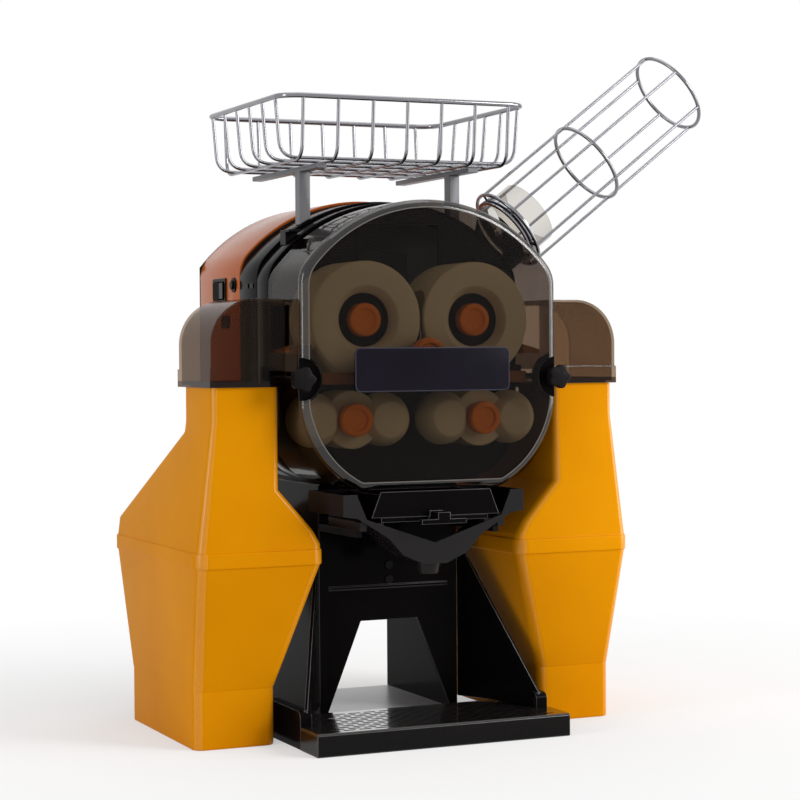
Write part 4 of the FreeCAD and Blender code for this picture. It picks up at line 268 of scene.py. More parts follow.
def stacked(loops, ring=False):
    # a grid of closed loops, one row each: quads join each row to the next; the first and last
    # rows are capped, or joined to each other in a ring
    rows, count = loops.shape[:2]
    number = np.arange(rows * count).reshape(rows, count)
    low = number if ring else number[:-1]
    high = np.roll(number, -1, 0) if ring else number[1:]
    quads = np.stack([low, np.roll(low, -1, 1), np.roll(high, -1, 1), high], -1).reshape(-1, 4)
    faces = quads.tolist()
    if not ring:
        faces += [number[0, ::-1].tolist(), number[-1].tolist()]
    return loops.reshape(-1, 3), faces


def joined(shapes):
    # several shapes in one mesh, their face numbers shifted
    points, faces, total = [], [], 0
    for somePoints, someFaces in shapes:
        points.append(somePoints)
        faces += [[k + total for k in face] for face in someFaces]
        total += len(somePoints)
    return np.concatenate(points), faces


def lathed(profile, x, z, count=72, lobes=0, lobeDepth=0.0, ring=False):
    # a profile of radius and Y carried round an axis along Y; lobes make the skin wave
    profile = np.asarray(profile, float)
    turn = np.linspace(0, 2 * np.pi, count, endpoint=False)
    wave = 1 - lobeDepth * (1 - np.cos(lobes * turn)) / 2
    radius = profile[:, :1] * wave
    return stacked(np.stack([x + radius * np.cos(turn),
                             np.repeat(profile[:, 1:], count, 1),
                             z + radius * np.sin(turn)], -1), ring)


def wire(path, radius, across, sides=14, closed=False):
    # a circle carried along a flat path; across is the direction at right angles to the path
    path = np.asarray(path, float)
    way = np.roll(path, -1, 0) - np.roll(path, 1, 0)
    if not closed:
        way[0], way[-1] = path[1] - path[0], path[-1] - path[-2]
    way /= np.linalg.norm(way, axis=1, keepdims=True)
    side = np.cross(way, across)
    side /= np.linalg.norm(side, axis=1, keepdims=True)
    turn = np.linspace(0, 2 * np.pi, sides, endpoint=False)[None, :, None]
    loops = (path[:, None] + radius * (np.cos(turn) * np.asarray(across, float)
                                       + np.sin(turn) * side[:, None]))
    return stacked(loops, closed)


def roundedRows(rows, cornerPoints=8):
    # rows of height, x0, x1, y0, y1 and corner radius become level rounded rectangles
    z, x0, x1, y0, y1, radius = np.asarray(rows, float).T[:, :, None]
    turn = np.linspace(0, np.pi / 2, cornerPoints)
    turn = np.concatenate([turn + k * np.pi / 2 for k in range(4)])
    quarter = np.repeat(np.arange(4), cornerPoints)
    right, back = np.isin(quarter, (0, 3)), np.isin(quarter, (0, 1))
    x = np.where(right, x1 - radius, x0 + radius) + radius * np.cos(turn)
    y = np.where(back, y1 - radius, y0 + radius) + radius * np.sin(turn)
    return np.stack([x, y, np.broadcast_to(z, x.shape)], -1)


# Piece tools
def finishPiece(piece, body, look, nodes=(), smooth=34, recalculated=True):
    # merges doubled points, smooths the faces between sharp edges and puts the piece in place
    tidy = bmesh.new()
    tidy.from_mesh(piece.data)
    bmesh.ops.remove_doubles(tidy, verts=tidy.verts, dist=1e-6)
    if recalculated:
        bmesh.ops.recalc_face_normals(tidy, faces=tidy.faces)
    tidy.to_mesh(piece.data)
    tidy.free()
    piece.data.materials.clear()
    piece.data.materials.append(finish[look])
    piece.data.polygons.foreach_set("material_index", np.zeros(len(piece.data.polygons), int))
    piece.data.polygons.foreach_set("use_smooth", np.ones(len(piece.data.polygons), bool))
    piece.data.set_sharp_from_angle(angle=math.radians(smooth))
    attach(piece, body)
    if nodes:
        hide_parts(*nodes)
    return piece


def makeMesh(name, shape):
    # points in millimetres and their faces become an object in metres
    points, faces = shape
    mesh = bpy.data.meshes.new(name)
    mesh.from_pydata((np.asarray(points) * mm).tolist(), [], faces)
    piece = bpy.data.objects.new(name, mesh)
    bpy.context.collection.objects.link(piece)
    return piece


def combined(piece, shapes, operation="DIFFERENCE"):
    # cuts shapes out of a piece, or adds them, and keeps the result as its mesh
    for number, shape in enumerate(shapes):
        tool = makeMesh(f"{piece.name}Tool{number}", shape)
        for each in (piece, tool):
            clean = bmesh.new()
            clean.from_mesh(each.data)
            bmesh.ops.remove_doubles(clean, verts=clean.verts, dist=1e-6)
            bmesh.ops.recalc_face_normals(clean, faces=clean.faces)
            clean.to_mesh(each.data)
            clean.free()
        change = piece.modifiers.new("change", "BOOLEAN")
        change.operation, change.solver, change.object = operation, "EXACT", tool
        graph = bpy.context.evaluated_depsgraph_get()
        result = bpy.data.meshes.new_from_object(piece.evaluated_get(graph))
        piece.modifiers.clear()
        piece.data = result
        bpy.data.objects.remove(tool)


def makePiece(name, shape, body, look, nodes=(), smooth=34):
    # a shape made and finished in one go
    return finishPiece(makeMesh(name, shape), body, look, nodes, smooth)


def repainted(piece, look, chosen):
    # another finish on the faces picked out by their centres, in millimetres, and normals
    faces = piece.data.polygons
    centre, normal = np.empty(len(faces) * 3), np.empty(len(faces) * 3)
    faces.foreach_get("center", centre)
    faces.foreach_get("normal", normal)
    number = np.empty(len(faces), int)
    faces.foreach_get("material_index", number)
    piece.data.materials.append(finish[look])
    picked = chosen(centre.reshape(-1, 3).T / mm, normal.reshape(-1, 3).T)
    number[picked] = len(piece.data.materials) - 1
    faces.foreach_set("material_index", number)
    return piece


def bevelled(piece, width):
    # edges sharper than 32 degrees are rounded by the width in millimetres
    edge = piece.modifiers.new("edges", "BEVEL")
    edge.width, edge.segments = width * mm, 2
    edge.limit_method, edge.angle_limit = "ANGLE", math.radians(32)
    edge.harden_normals = True
    return piece


# finishes whose softened edges have a finish of their own; black edges are painted highlights
edgeFinish = {"blackAbs": "blackEdgeHighlight", "tankAbs": "blackEdgeHighlight", "trayAbs": "blackEdgeHighlight",
              "smokedLid": "smokedBend"}


def dressed(node, look, slot, width):
    # a copy of a CAD node with its corners merged and its edges softened
    source = frame["nodes"][node]
    piece = bpy.data.objects.new(node + "Skin", source.data.copy())
    bpy.context.collection.objects.link(piece)
    clean = bmesh.new()
    clean.from_mesh(piece.data)
    bmesh.ops.remove_doubles(clean, verts=clean.verts, dist=2e-6)
    if width:
        bmesh.ops.dissolve_limit(clean, angle_limit=math.radians(0.2), verts=clean.verts,
                                 edges=clean.edges)
    clean.to_mesh(piece.data)
    clean.free()
    finishPiece(piece, body_of(source)[0], look, [node], 32, False)
    if width and look in edgeFinish:
        piece.data.materials.append(finish[edgeFinish[look]])
        bevelled(piece, width).modifiers["edges"].material = 1
        return piece
    return bevelled(piece, width) if width else piece


def parted(piece, point, way, look):
    # splits the faces at a plane and gives those behind it another finish
    cut = bmesh.new()
    cut.from_mesh(piece.data)
    bmesh.ops.bisect_plane(cut, geom=cut.verts[:] + cut.edges[:] + cut.faces[:],
                           plane_co=np.asarray(point) * mm, plane_no=way)
    cut.to_mesh(piece.data)
    cut.free()
    return repainted(piece, look, lambda centre, normal: way @ (centre.T - point).T < 0)


def cutBox(x0, x1, y0, y1, z0, z1):
    # a plain box between two corners, for cutting
    low, high = np.minimum((x0, y0, z0), (x1, y1, z1)), np.maximum((x0, y0, z0), (x1, y1, z1))
    rows = [(low[2], low[0], high[0], low[1], high[1], 0.01),
            (high[2], low[0], high[0], low[1], high[1], 0.01)]
    return stacked(roundedRows(rows, 2))


def mirroredX(shape):
    # the same shape on the other side, its faces turned round to point outwards again
    points, faces = shape
    return points * (-1, 1, 1), [face[::-1] for face in faces]


# Body shells: an arch, straight sides and a chin round each lower axis
body = {"half": 167, "archZ": 444, "chinX": 84.65, "chinZ": 385.17, "chinRadius": 82.35,
        "shoulderRound": 40, "wall": 3.5}


def shoulderAndArch(archRadius, half, roundRadius):
    # the right shoulder's round, the arch, and the left shoulder's round
    rise = math.sqrt((archRadius - roundRadius) ** 2 - (half - roundRadius) ** 2)
    turn = math.degrees(math.atan2(rise, half - roundRadius))
    z = body["archZ"] + rise
    return [arc(half - roundRadius, z, roundRadius, 0, turn, 10)[:-1],
            arc(0, body["archZ"], archRadius, turn, 180 - turn, 81),
            arc(roundRadius - half, z, roundRadius, 180 - turn, 180, 10)[1:]]


def bodyOutline(archRadius, inset):
    # seen from the front: an arc round each lower axis, a shoulder on each side and the arch,
    # all drawn in by the inset
    chin = body["chinRadius"] - inset
    return np.concatenate([
        arc(body["chinX"], body["chinZ"], chin, -90, 0, 24),
        *shoulderAndArch(archRadius - inset, body["half"] - inset, body["shoulderRound"]),
        arc(-body["chinX"], body["chinZ"], chin, 180, 270, 24)])


def ringShell(archRadius, front, back, roundEdge):
    # the wall's section, a rounded rectangle of inset and Y, carried round the outline
    wall = body["wall"]
    section = softened([(0, front), (0, back), (wall, back), (wall, front)], roundEdge,
                       4, True)
    loops = np.stack([np.insert(bodyOutline(archRadius, inset), 1, y, 1)
                      for inset, y in section])
    return stacked(loops, True)


def bar(first, last, radius):
    # a circle at right angles to the line between two points, carried along it
    way = np.subtract(last, first) / np.linalg.norm(np.subtract(last, first))
    side = np.cross(way, (0, 0, 1))
    side /= np.linalg.norm(side)
    turn = np.linspace(0, 2 * np.pi, 40, endpoint=False)[:, None]
    circle = radius * (np.cos(turn) * side + np.sin(turn) * np.cross(way, side))
    return stacked(np.stack([first + circle, last + circle]))


# Feed tube: three rings and six bars on a slant, with a sleeve for the neck
feed = {"start": (178, 55, 622), "slope": 37.66, "length": 303, "radius": 55, "ringWire": 2.4,
        "barWire": 2.0, "middle": 0.48, "bars": 6, "sleeve": 48, "sleeveLong": 14,
        "bore": 43.3, "spokeFrom": 46, "spoke": 2.4, "neckDeep": 150, "neckClear": 14}


def feedPoint(along):
    # a point on the feed tube's slanted axis, measured from its lower ring
    slope = math.radians(feed["slope"])
    return np.array(feed["start"]) + along * np.array([math.cos(slope), 0, math.sin(slope)])


# each shell's arch radius, front, back and rounded edge, and what is cut from it or added
shells = {"frontFrameShell": (206, 12.3, 51, 1.6), "collarShell": (209.5, 51, 113, 1.2),
          "housingShell": (214, 113, 265, 1.6)}
switchHole = {"x0": -172, "x1": -160, "y0": 165.4, "y1": 205.6, "z0": 533.4, "z1": 556.6}
buttonHole = {"first": (-175, 133, 551), "last": (-160, 133, 551), "radius": 5.6}
lugSizes = {"x0": 163.5, "x1": 174.7, "y0": 12.3, "y1": 24.3, "round": 1.5,
            "low": 420.1, "high": 449.1}
studSizes = {"x": 167, "z": 434.6, "radius": 4, "tip": 3.4, "front": -88, "back": 24}


def lugAndStud():
    # a rounded block on each side of the frame, with the stud that the cover slides on
    k = lugSizes
    lug = stacked(roundedRows([(z, k["x0"], k["x1"], k["y0"], k["y1"], k["round"])
                               for z in (k["low"], k["high"])]))
    k = studSizes
    stud = lathed([(0, k["front"]), (k["tip"], k["front"]), (k["radius"], k["front"] + 1),
                   (k["radius"], k["back"]), (0, k["back"])], k["x"], k["z"], 24)
    return [lug, mirroredX(lug), stud, mirroredX(stud)]


for name, (radius, front, back, roundEdge) in shells.items():
    shell = makeMesh(name, ringShell(radius, front, back, roundEdge))
    if name == "housingShell":
        combined(shell, [cutBox(**switchHole), bar(**buttonHole)])
        finishPiece(shell, "machine", "orangeAbs", ["rear_housing"])
    else:
        combined(shell, [bar(feedPoint(-feed["neckDeep"]), feedPoint(0), feed["bore"])])
        if name == "frontFrameShell":
            combined(shell, lugAndStud(), "UNION")
        node = "front_frame" if name == "frontFrameShell" else "collar"
        finishPiece(shell, "machine", "blackAbs", [node])
print("body shells made")


# Smoked front cover: a pressed shell with a rounded front edge, a flatter chin in front
cover = {"front": -96, "back": 12, "arch": 203, "wall": 2.8, "edgeIn": 10, "edgeDeep": 10,
         "straightTo": -40, "chinBack": -68, "chinStart": (167, 404), "chinMiddle": (138, 338),
         "chinEnd": (91, 302.8), "knobZ": 434.6, "notch": 25, "slot": 9.2,
         "notchY": (-101, -84), "slotY": (-96, 17)}
chinOpening = {"x0": -81.85, "x1": 81.85, "y0": -93.2, "y1": 17, "z0": 297.8, "z1": 307.8}
sideOpening = {"x0": -174.7, "x1": 174.7, "y0": -56, "y1": 6, "z0": 466, "z1": 522}


def throughThree(first, second, third, count):
    # points on the circle through three points
    (ax, ay), (bx, by), (cx, cy) = first, second, third
    double = 2 * (ax * (by - cy) + bx * (cy - ay) + cx * (ay - by))
    squares = [x * x + y * y for x, y in (first, second, third)]
    x = (squares[0] * (by - cy) + squares[1] * (cy - ay) + squares[2] * (ay - by)) / double
    y = (squares[0] * (cx - bx) + squares[1] * (ax - cx) + squares[2] * (bx - ax)) / double
    turns = [math.degrees(math.atan2(py - y, px - x)) for px, py in (first, third)]
    return arc(x, y, math.hypot(ax - x, ay - y), turns[0], turns[1], count)


def coverOutline(inset, share):
    # from the front outline, share 0, to the body's outline, share 1
    lean = inset * math.sqrt(0.5)
    (sx, sz), (mx, mz), (ex, ez) = cover["chinStart"], cover["chinMiddle"], cover["chinEnd"]
    chin = throughThree((ex, ez + inset), (mx - lean, mz + lean), (sx - inset, sz), 24)
    front = np.concatenate([chin, *shoulderAndArch(cover["arch"] - inset,
                                                   body["half"] - inset, body["shoulderRound"]),
                            chin[::-1] * (-1, 1)])
    return (1 - share) * front + share * bodyOutline(cover["arch"], inset)


def coverLoops(wall):
    # outlines from the back to the front, drawn in by the wall, the last of them on a quarter
    # circle inwards
    bend = cover["front"] + cover["edgeDeep"] + wall
    turn = np.radians(np.linspace(0, 90, 13))[1:]
    stations = [(wall, cover[y], 1) for y in ("back", "straightTo", "chinBack")]
    stations += [(wall, cover["chinBack"] + (bend - cover["chinBack"]) * k / 4, 1 - k / 4)
                 for k in (1, 2, 3, 4)]
    stations += [(wall + cover["edgeIn"] * (1 - math.cos(t)),
                  bend - cover["edgeDeep"] * math.sin(t), 0) for t in turn]
    return np.stack([np.insert(coverOutline(inset, share), 1, y, 1)
                     for inset, y, share in stations])


def coverTools():
    # what is cut out: the opening under the chin, the knobs' notches and slots, the side window
    tools = [cutBox(**chinOpening)]
    for side in (-1, 1):
        x = body["half"] * side
        for hole in ("notch", "slot"):
            radius, (low, high) = cover[hole], cover[hole + "Y"]
            tools.append(lathed([(0, low), (radius, low), (radius, high), (0, high)], x,
                                cover["knobZ"], 48))
    tools.append(cutBox(**sideOpening))
    return tools


coverShell = makeMesh("frontCoverShell", stacked(np.concatenate([
    coverLoops(cover["wall"])[::-1], coverLoops(0)])))
combined(coverShell, coverTools())
finishPiece(coverShell, "cover", "smokedCover", ["front_cover"], 24)


def onBend(centre, normal):
    # the outer faces of the rounded front edge
    outward = normal[0] * centre[0] + normal[2] * (centre[2] - cover["knobZ"]) > 0
    return outward & (centre[1] < cover["front"] + cover["edgeDeep"]) & (abs(normal[1]) < 0.9995)


def onArris(centre, normal):
    # its first and last strips, and the notches' walls where they meet the front
    fromKnob = np.hypot(abs(centre[0]) - body["half"], centre[2] - cover["knobZ"])
    strip = onBend(centre, normal) & ((abs(normal[1]) > 0.99) | (abs(normal[1]) < 0.1))
    return strip | ((fromKnob < cover["notch"] + 0.5) & (centre[1] < cover["front"] + 3)
                    & (abs(normal[1]) < 0.5))


repainted(coverShell, "smokedBend", onBend)
# the arrises and the notches' front edges are painted paler: a painted highlight line
repainted(coverShell, "arrisPaintedHighlight", onArris)

# Label plate: a bare face in a pale rim, a painted highlight; each pair is how far in and at what
# Y
label = {"half": 101, "low": 419, "high": 471, "corner": 7,
         "face": ((0.3, -96), (0, -96.3), (0, -97.9), (0.2, -98.3), (0.6, -98.4)),
         "rim": ((0, -97.8), (0, -98.3), (0.3, -98.5), (1, -98.5), (1.3, -98.3), (1.3, -97.8))}


def roundedOutline(x0, x1, z0, z1, radius, count=8):
    # a quarter circle at each corner of a rectangle
    return np.concatenate([arc(x1 - radius, z0 + radius, radius, -90, 0, count),
                           arc(x1 - radius, z1 - radius, radius, 0, 90, count),
                           arc(x0 + radius, z1 - radius, radius, 90, 180, count),
                           arc(x0 + radius, z0 + radius, radius, 180, 270, count)])


def labelLoops(steps):
    # a rounded rectangle at each Y, drawn in by each inset
    half, low, high = label["half"], label["low"], label["high"]
    return np.stack([np.insert(roundedOutline(k - half, half - k, low + k, high - k,
                                              label["corner"] - k), 1, y, 1)
                     for k, y in steps])


makePiece("labelPlateFace", stacked(labelLoops(label["face"])),
          "cover", "plumLaminate", ["label_plate"])
makePiece("labelPlateRim", stacked(labelLoops(label["rim"]), True),
          "cover", "labelRimHighlight")
print("front cover made")

# Drums: the upper ones have two cups behind a plain rim, the lower ones two lobes on a hub.
# Y runs back from the front; a cup is a circle of radius cupProfile carried round a far centre
drums = {"upperX": 72, "upperZ": 504.5, "lowerX": 84.65, "lowerZ": 385.17, "front": -66.6,
         "back": 8, "radius": 70, "ballRadius": 33, "ballOrbit": 45, "ballY": -35,
         "ballFlat": -60, "hub": 35, "hubFront": -50, "cupProfile": 35, "bore": 9.8,
         "cone": 41, "coneDeep": 10.6, "recess": 32, "recessDeep": 20.6, "hubSeat": 23,
         "hubSeatFront": -70}
cup = {"centre": 161.783, "reach": 120.583, "front": -61.2, "degrees": -12.102}
knobs = {"radius": 20, "depth": 15, "dish": 12.6, "dishRim": 13.4, "dishDeep": 2.5,
         "upperFront": -63.5, "lowerFront": -67, "centreZ": 463, "centreFront": -90,
         "centreDepth": 11, "lobes": 12, "lobeDepth": 0.018}


def knobShape(x, z, front, depth):
    # a dished disc, its profile of radius and Y turned, with softened edges and faint lobes
    k = knobs
    profile = softened([(0, front + k["dishDeep"]), (k["dish"], front + k["dishDeep"]),
                        (k["dishRim"], front), (k["radius"], front),
                        (k["radius"], front + depth), (0, front + depth)],
                       [0, 0.8, 0.8, 2.2, 1.0, 0], 5)
    return lathed(profile, x, z, 96, k["lobes"], k["lobeDepth"])


def upperDrum(side):
    # a turned drum with a stepped recess, less two cups: a circle's arc carried round each
    x, z = drums["upperX"] * side, drums["upperZ"]
    front, back, bore = drums["front"], drums["back"], drums["bore"]
    step, seat = front + drums["coneDeep"], front + drums["recessDeep"]
    section = softened([(bore, seat), (drums["recess"], seat), (drums["recess"], step),
                        (drums["cone"], front), (drums["radius"], front),
                        (drums["radius"], back), (bore, back)],
                       [0.1, 1.5, 1.5, 1.5, 3.0, 1.0, 0.1], 5, True)
    drum = makeMesh("upperDrum" + ("Right" if side > 0 else "Left"),
                    lathed(section, x, z, 128, ring=True))
    ring = cup["reach"] - drums["cupProfile"]
    y = np.linspace(cup["front"], drums["ballY"] + drums["cupProfile"], 18)
    lift = np.sqrt(np.maximum(drums["cupProfile"] ** 2 - (y - drums["ballY"]) ** 2, 0))
    profile = np.concatenate([[(0, y[0])], np.stack([ring + lift, y], -1), [(0, y[-1])]])
    turns = cup["degrees"] if side < 0 else 180 - cup["degrees"]
    cups = [lathed(profile, x + cup["centre"] * math.cos(math.radians(turn)),
                   z + cup["centre"] * math.sin(math.radians(turn)), 160)
            for turn in (turns, turns + 180)]
    combined(drum, cups)
    name = "right" if side > 0 else "left"
    finishPiece(drum, f"{name}_upper_drum", "ivoryAcetal",
                [f"upper_drum_{name}"], 26)
    # the recess's walls and floor are painted black: painted shade in the hollow
    return repainted(drum, "blackSatin", lambda centre, normal: (
        (np.hypot(centre[0] - x, centre[2] - z) < drums["recess"] + 0.4)
        & (centre[1] > step + 0.4) & (centre[1] < seat + 0.4)))


def lowerDrum(side):
    # a turned hub with a lobe on each side: half a circle with a flattened nose, turned
    x, z = drums["lowerX"] * side, drums["lowerZ"]
    back, hub, hubFront, bore = (drums[k] for k in ("back", "hub", "hubFront", "bore"))
    section = softened([(bore, hubFront), (hub, hubFront), (hub, back), (bore, back)],
                       [0.1, 2.0, 1.0, 0.1], 5, True)
    drum = makeMesh("lowerDrum" + ("Right" if side > 0 else "Left"),
                    lathed(section, x, z, 96, ring=True))
    start = math.asin((drums["ballFlat"] - drums["ballY"]) / drums["ballRadius"])
    turn = np.linspace(start, math.pi / 2, 28)
    skin = np.stack([drums["ballRadius"] * np.cos(turn),
                     drums["ballY"] + drums["ballRadius"] * np.sin(turn)], -1)
    rim = softened([(0, skin[0, 1]), tuple(skin[0]), tuple(skin[2])], [0, 2.0, 0], 5)
    ball = np.concatenate([rim[:-1], skin[2:]])
    lobes = [lathed(ball, x + drums["ballOrbit"] * s, z, 72) for s in (-1, 1)]
    combined(drum, lobes, "UNION")
    room, front = drums["hubSeat"], drums["hubSeatFront"]  # for the knob in front of the hub
    combined(drum, [lathed([(0, front), (room, front), (room, hubFront), (0, hubFront)],
                           x, z, 72)])
    name = "right" if side > 0 else "left"
    return finishPiece(drum, f"{name}_lower_drum", "ivoryAcetal",
                       [f"lower_drum_{name}"], 26)


for side, name in ((-1, "left"), (1, "right")):
    upperDrum(side)
    lowerDrum(side)
    for row in ("upper", "lower"):
        shape = knobShape(drums[f"{row}X"] * side, drums[f"{row}Z"], knobs[f"{row}Front"],
                          knobs["depth"])
        makePiece(f"{row}Knob{name.title()}", shape, f"{name}_{row}_knob", "orangeNylon",
                  [f"{row}_knob_{name}"], 30)
makePiece("centreKnob", knobShape(0, knobs["centreZ"], knobs["centreFront"],
                                  knobs["centreDepth"]),
          "middle_knob", "orangeNylon", ["centre_knob"], 30)
print("drums and knobs made")


# Fruit basket: a thick rim with U-shaped wires crossing under it
basket = {"half": 162.4, "front": -30, "back": 248, "rim": 771.5, "floor": 697, "taper": 6,
          "corner": 26, "rimWire": 3.2, "wire": 2.1, "bend": 20, "cross": 3,
          "frontWires": 7, "sideWires": 6}


def basketShape():
    # a circle carried round the rim and along each U, whose corners are softened
    half, front, back = basket["half"], basket["front"], basket["back"]
    rim = np.insert(roundedOutline(-half, half, front, back, basket["corner"], 12), 2,
                    basket["rim"], 1)
    shapes = [wire(rim, basket["rimWire"], (0, 0, 1), 18, True)]
    low, inner = basket["floor"], basket["corner"]
    for x in np.linspace(inner - half, half - inner, basket["frontWires"]):
        path = softened([(x, front, basket["rim"]), (x, front + basket["taper"], low),
                         (x, back - basket["taper"], low), (x, back, basket["rim"])],
                        basket["bend"], 9)
        shapes.append(wire(path, basket["wire"], (1, 0, 0)))
    low += basket["cross"]
    for y in np.linspace(front + inner, back - inner, basket["sideWires"]):
        path = softened([(-half, y, basket["rim"]), (basket["taper"] - half, y, low),
                         (half - basket["taper"], y, low), (half, y, basket["rim"])],
                        basket["bend"], 9)
        shapes.append(wire(path, basket["wire"], (0, 1, 0)))
    return joined(shapes)


makePiece("basketWires", basketShape(), "fruit_basket", "chromeWire",
          ["basket"], 50)


def feedTubeShape():
    # circles carried round the rings, along the bars and along the spokes, and a turned sleeve
    way = feedPoint(1) - feedPoint(0)
    up = np.array([-way[2], 0, way[0]])
    turn = np.linspace(0, 2 * np.pi, 64, endpoint=False)[:, None]
    circle = np.cos(turn) * np.array([0.0, 1.0, 0.0]) + np.sin(turn) * up
    shapes = [wire(feedPoint(feed["length"] * share) + feed["radius"] * circle,
                   feed["ringWire"], way, 16, True) for share in (0, feed["middle"], 1)]
    end = feed["sleeveLong"] / 2
    section = softened([(feed["bore"], -end), (feed["sleeve"], -end),
                        (feed["sleeve"], end), (feed["bore"], end)], 0.8, 4, True)
    shapes.append(stacked(np.stack([feedPoint(along) + radius * circle
                                    for radius, along in section]), True))
    for number in range(feed["bars"]):
        turn = 2 * math.pi * (number + 0.5) / feed["bars"]
        across = math.cos(turn) * np.array([0.0, 1.0, 0.0]) + math.sin(turn) * up
        side = np.cross(way, across)
        start = feedPoint(0) + across * feed["radius"]
        shapes.append(wire([start, start + way * feed["length"]], feed["barWire"], side))
        shapes.append(wire([feedPoint(0) + across * feed["spokeFrom"], start],
                           feed["spoke"], side))
    return joined(shapes)


makePiece("feedTubeWires", feedTubeShape(), "tube", "chromeWire",
          ["feed_tube"], 50)
print("basket and feed tube made")

# Waste bins: level rounded rectangles from the foot up to the neck and down again inside
binSizes = {"wall": 3, "foot": 69, "step": 0.6, "top": 216, "rim": 234, "lip": 2.5,
            "round": 12, "neckRound": 8, "footIn": 9,
            "footSides": (176.3, 277.7, -27.4, 223.2), "wideSides": (129.5, 284, -64, 266),
            "heights": (240, 256, 272, 290, 305, 330, 350, 372, 386, 405, 425.7)}
# the hood's sides x0, x1, y0 and y1: heights, and where the side is at each
hood = (((234, 246, 305, 425.7), (129.5, 129.5, 182, 182)),
        ((234, 386, 425.7), (284, 264.5, 264.5)),
        ((234, 386, 425.7), (-64, -60.3, -60.3)),
        ((234, 256, 372, 425.7), (266, 266, 41.4, 41.4)))


def sidesOf(z, x0, x1, y0, y1, inset, radius):
    # a row for roundedRows, drawn in by the inset
    return (z, x0 + inset, x1 - inset, y0 + inset, y1 - inset, max(radius - inset, 0.5))


def binRows(inset, bottom):
    # rows from the foot to the neck, each drawn in by the inset, with every height softened
    foot, flare = binSizes["footSides"], binSizes["wideSides"]
    step, lip, wide = binSizes["step"], binSizes["lip"], binSizes["round"]
    rows = [sidesOf(bottom, *foot, inset + binSizes["footIn"], wide + 2),
            sidesOf(bottom, *foot, inset, wide),
            sidesOf(binSizes["foot"] + inset, *foot, inset, wide),
            sidesOf(binSizes["foot"] + inset, *foot, inset - step, wide + step)]
    if inset:
        rows += [sidesOf(binSizes["top"], *flare, inset, wide)]
    else:
        rows += [sidesOf(binSizes["top"], *flare, 0, wide),
                 sidesOf(binSizes["top"], *flare, -lip, wide + lip),
                 sidesOf(binSizes["rim"], *flare, -lip, wide + lip),
                 sidesOf(binSizes["rim"], *flare, 0, wide)]
    for z in binSizes["heights"]:
        limits = [np.interp(z, *side) for side in hood]
        share = min(max((z - 240) / 140, 0), 1)  # the corners tighten over 140 mm
        rows.append(sidesOf(z, *limits, inset, wide + (binSizes["neckRound"] - wide) * share))
    return softened(rows, [3.0] * len(rows), 4)


binShape = stacked(roundedRows(np.concatenate([
    binRows(0, 0), binRows(binSizes["wall"], binSizes["wall"])[::-1]])))
for side, shape in (("left", mirroredX(binShape)), ("right", binShape)):
    wasteBin = makePiece(f"wasteBin{side.title()}", shape, f"{side}_bin", "amberAbs",
                         [f"waste_bin_{side}"], 30)
    # the rounded corners take the glossier finish; its lighter tone is a painted highlight
    repainted(wasteBin, "amberCornerHighlight", lambda centre, normal: (
        (abs(normal[0]) > 0.25) & (abs(normal[1]) > 0.35) & (abs(normal[2]) < 0.6)))
print("waste bins made")

# Cover knobs: a lobed head on a plain neck, bored for the stud
coverKnob = {"radius": 15, "front": -106, "back": -88.2, "slant": 6, "shoulder": 10, "neck": 7,
             "tail": 8.6, "tailFront": -83.8, "tailBack": -81, "bore": 4.08, "boreFront": -95,
             "lobes": 5, "lobeDepth": 0.2, "lobesFrom": 9, "lobesOver": 5, "points": 120}


def coverKnobShape(x):
    # the lobes fade out towards the neck: the radius waves by a share of its height
    k = coverKnob
    profile = softened([(0, k["front"]), (k["radius"], k["front"]),
                        (k["radius"], k["back"] - k["slant"]), (k["shoulder"], k["back"]),
                        (k["neck"], k["back"]), (k["neck"], k["tailFront"]),
                        (k["tail"], k["tailFront"]), (k["tail"], k["tailBack"]),
                        (k["bore"], k["tailBack"]), (k["bore"], k["boreFront"]),
                        (0, k["boreFront"])], [0, 3, 3, 0.8, 0.2, 0.2, 0.4, 0.4, 0.1, 0.1, 0], 5)
    turn = np.linspace(0, 2 * np.pi, k["points"], endpoint=False)
    lobed = np.clip((profile[:, :1] - k["lobesFrom"]) / k["lobesOver"], 0, 1)
    wave = 1 - k["lobeDepth"] * lobed * (1 - np.cos(k["lobes"] * turn)) / 2
    radius = profile[:, :1] * wave
    return stacked(np.stack([x + radius * np.cos(turn),
                             np.repeat(profile[:, 1:], k["points"], 1),
                             cover["knobZ"] + radius * np.sin(turn)], -1))


for side, name in ((-1, "left"), (1, "right")):
    makePiece(f"coverKnob{name.title()}", coverKnobShape(body["half"] * side),
              f"{name}_cover_knob", "blackSatin", [f"cover_knob_{name}"], 40)

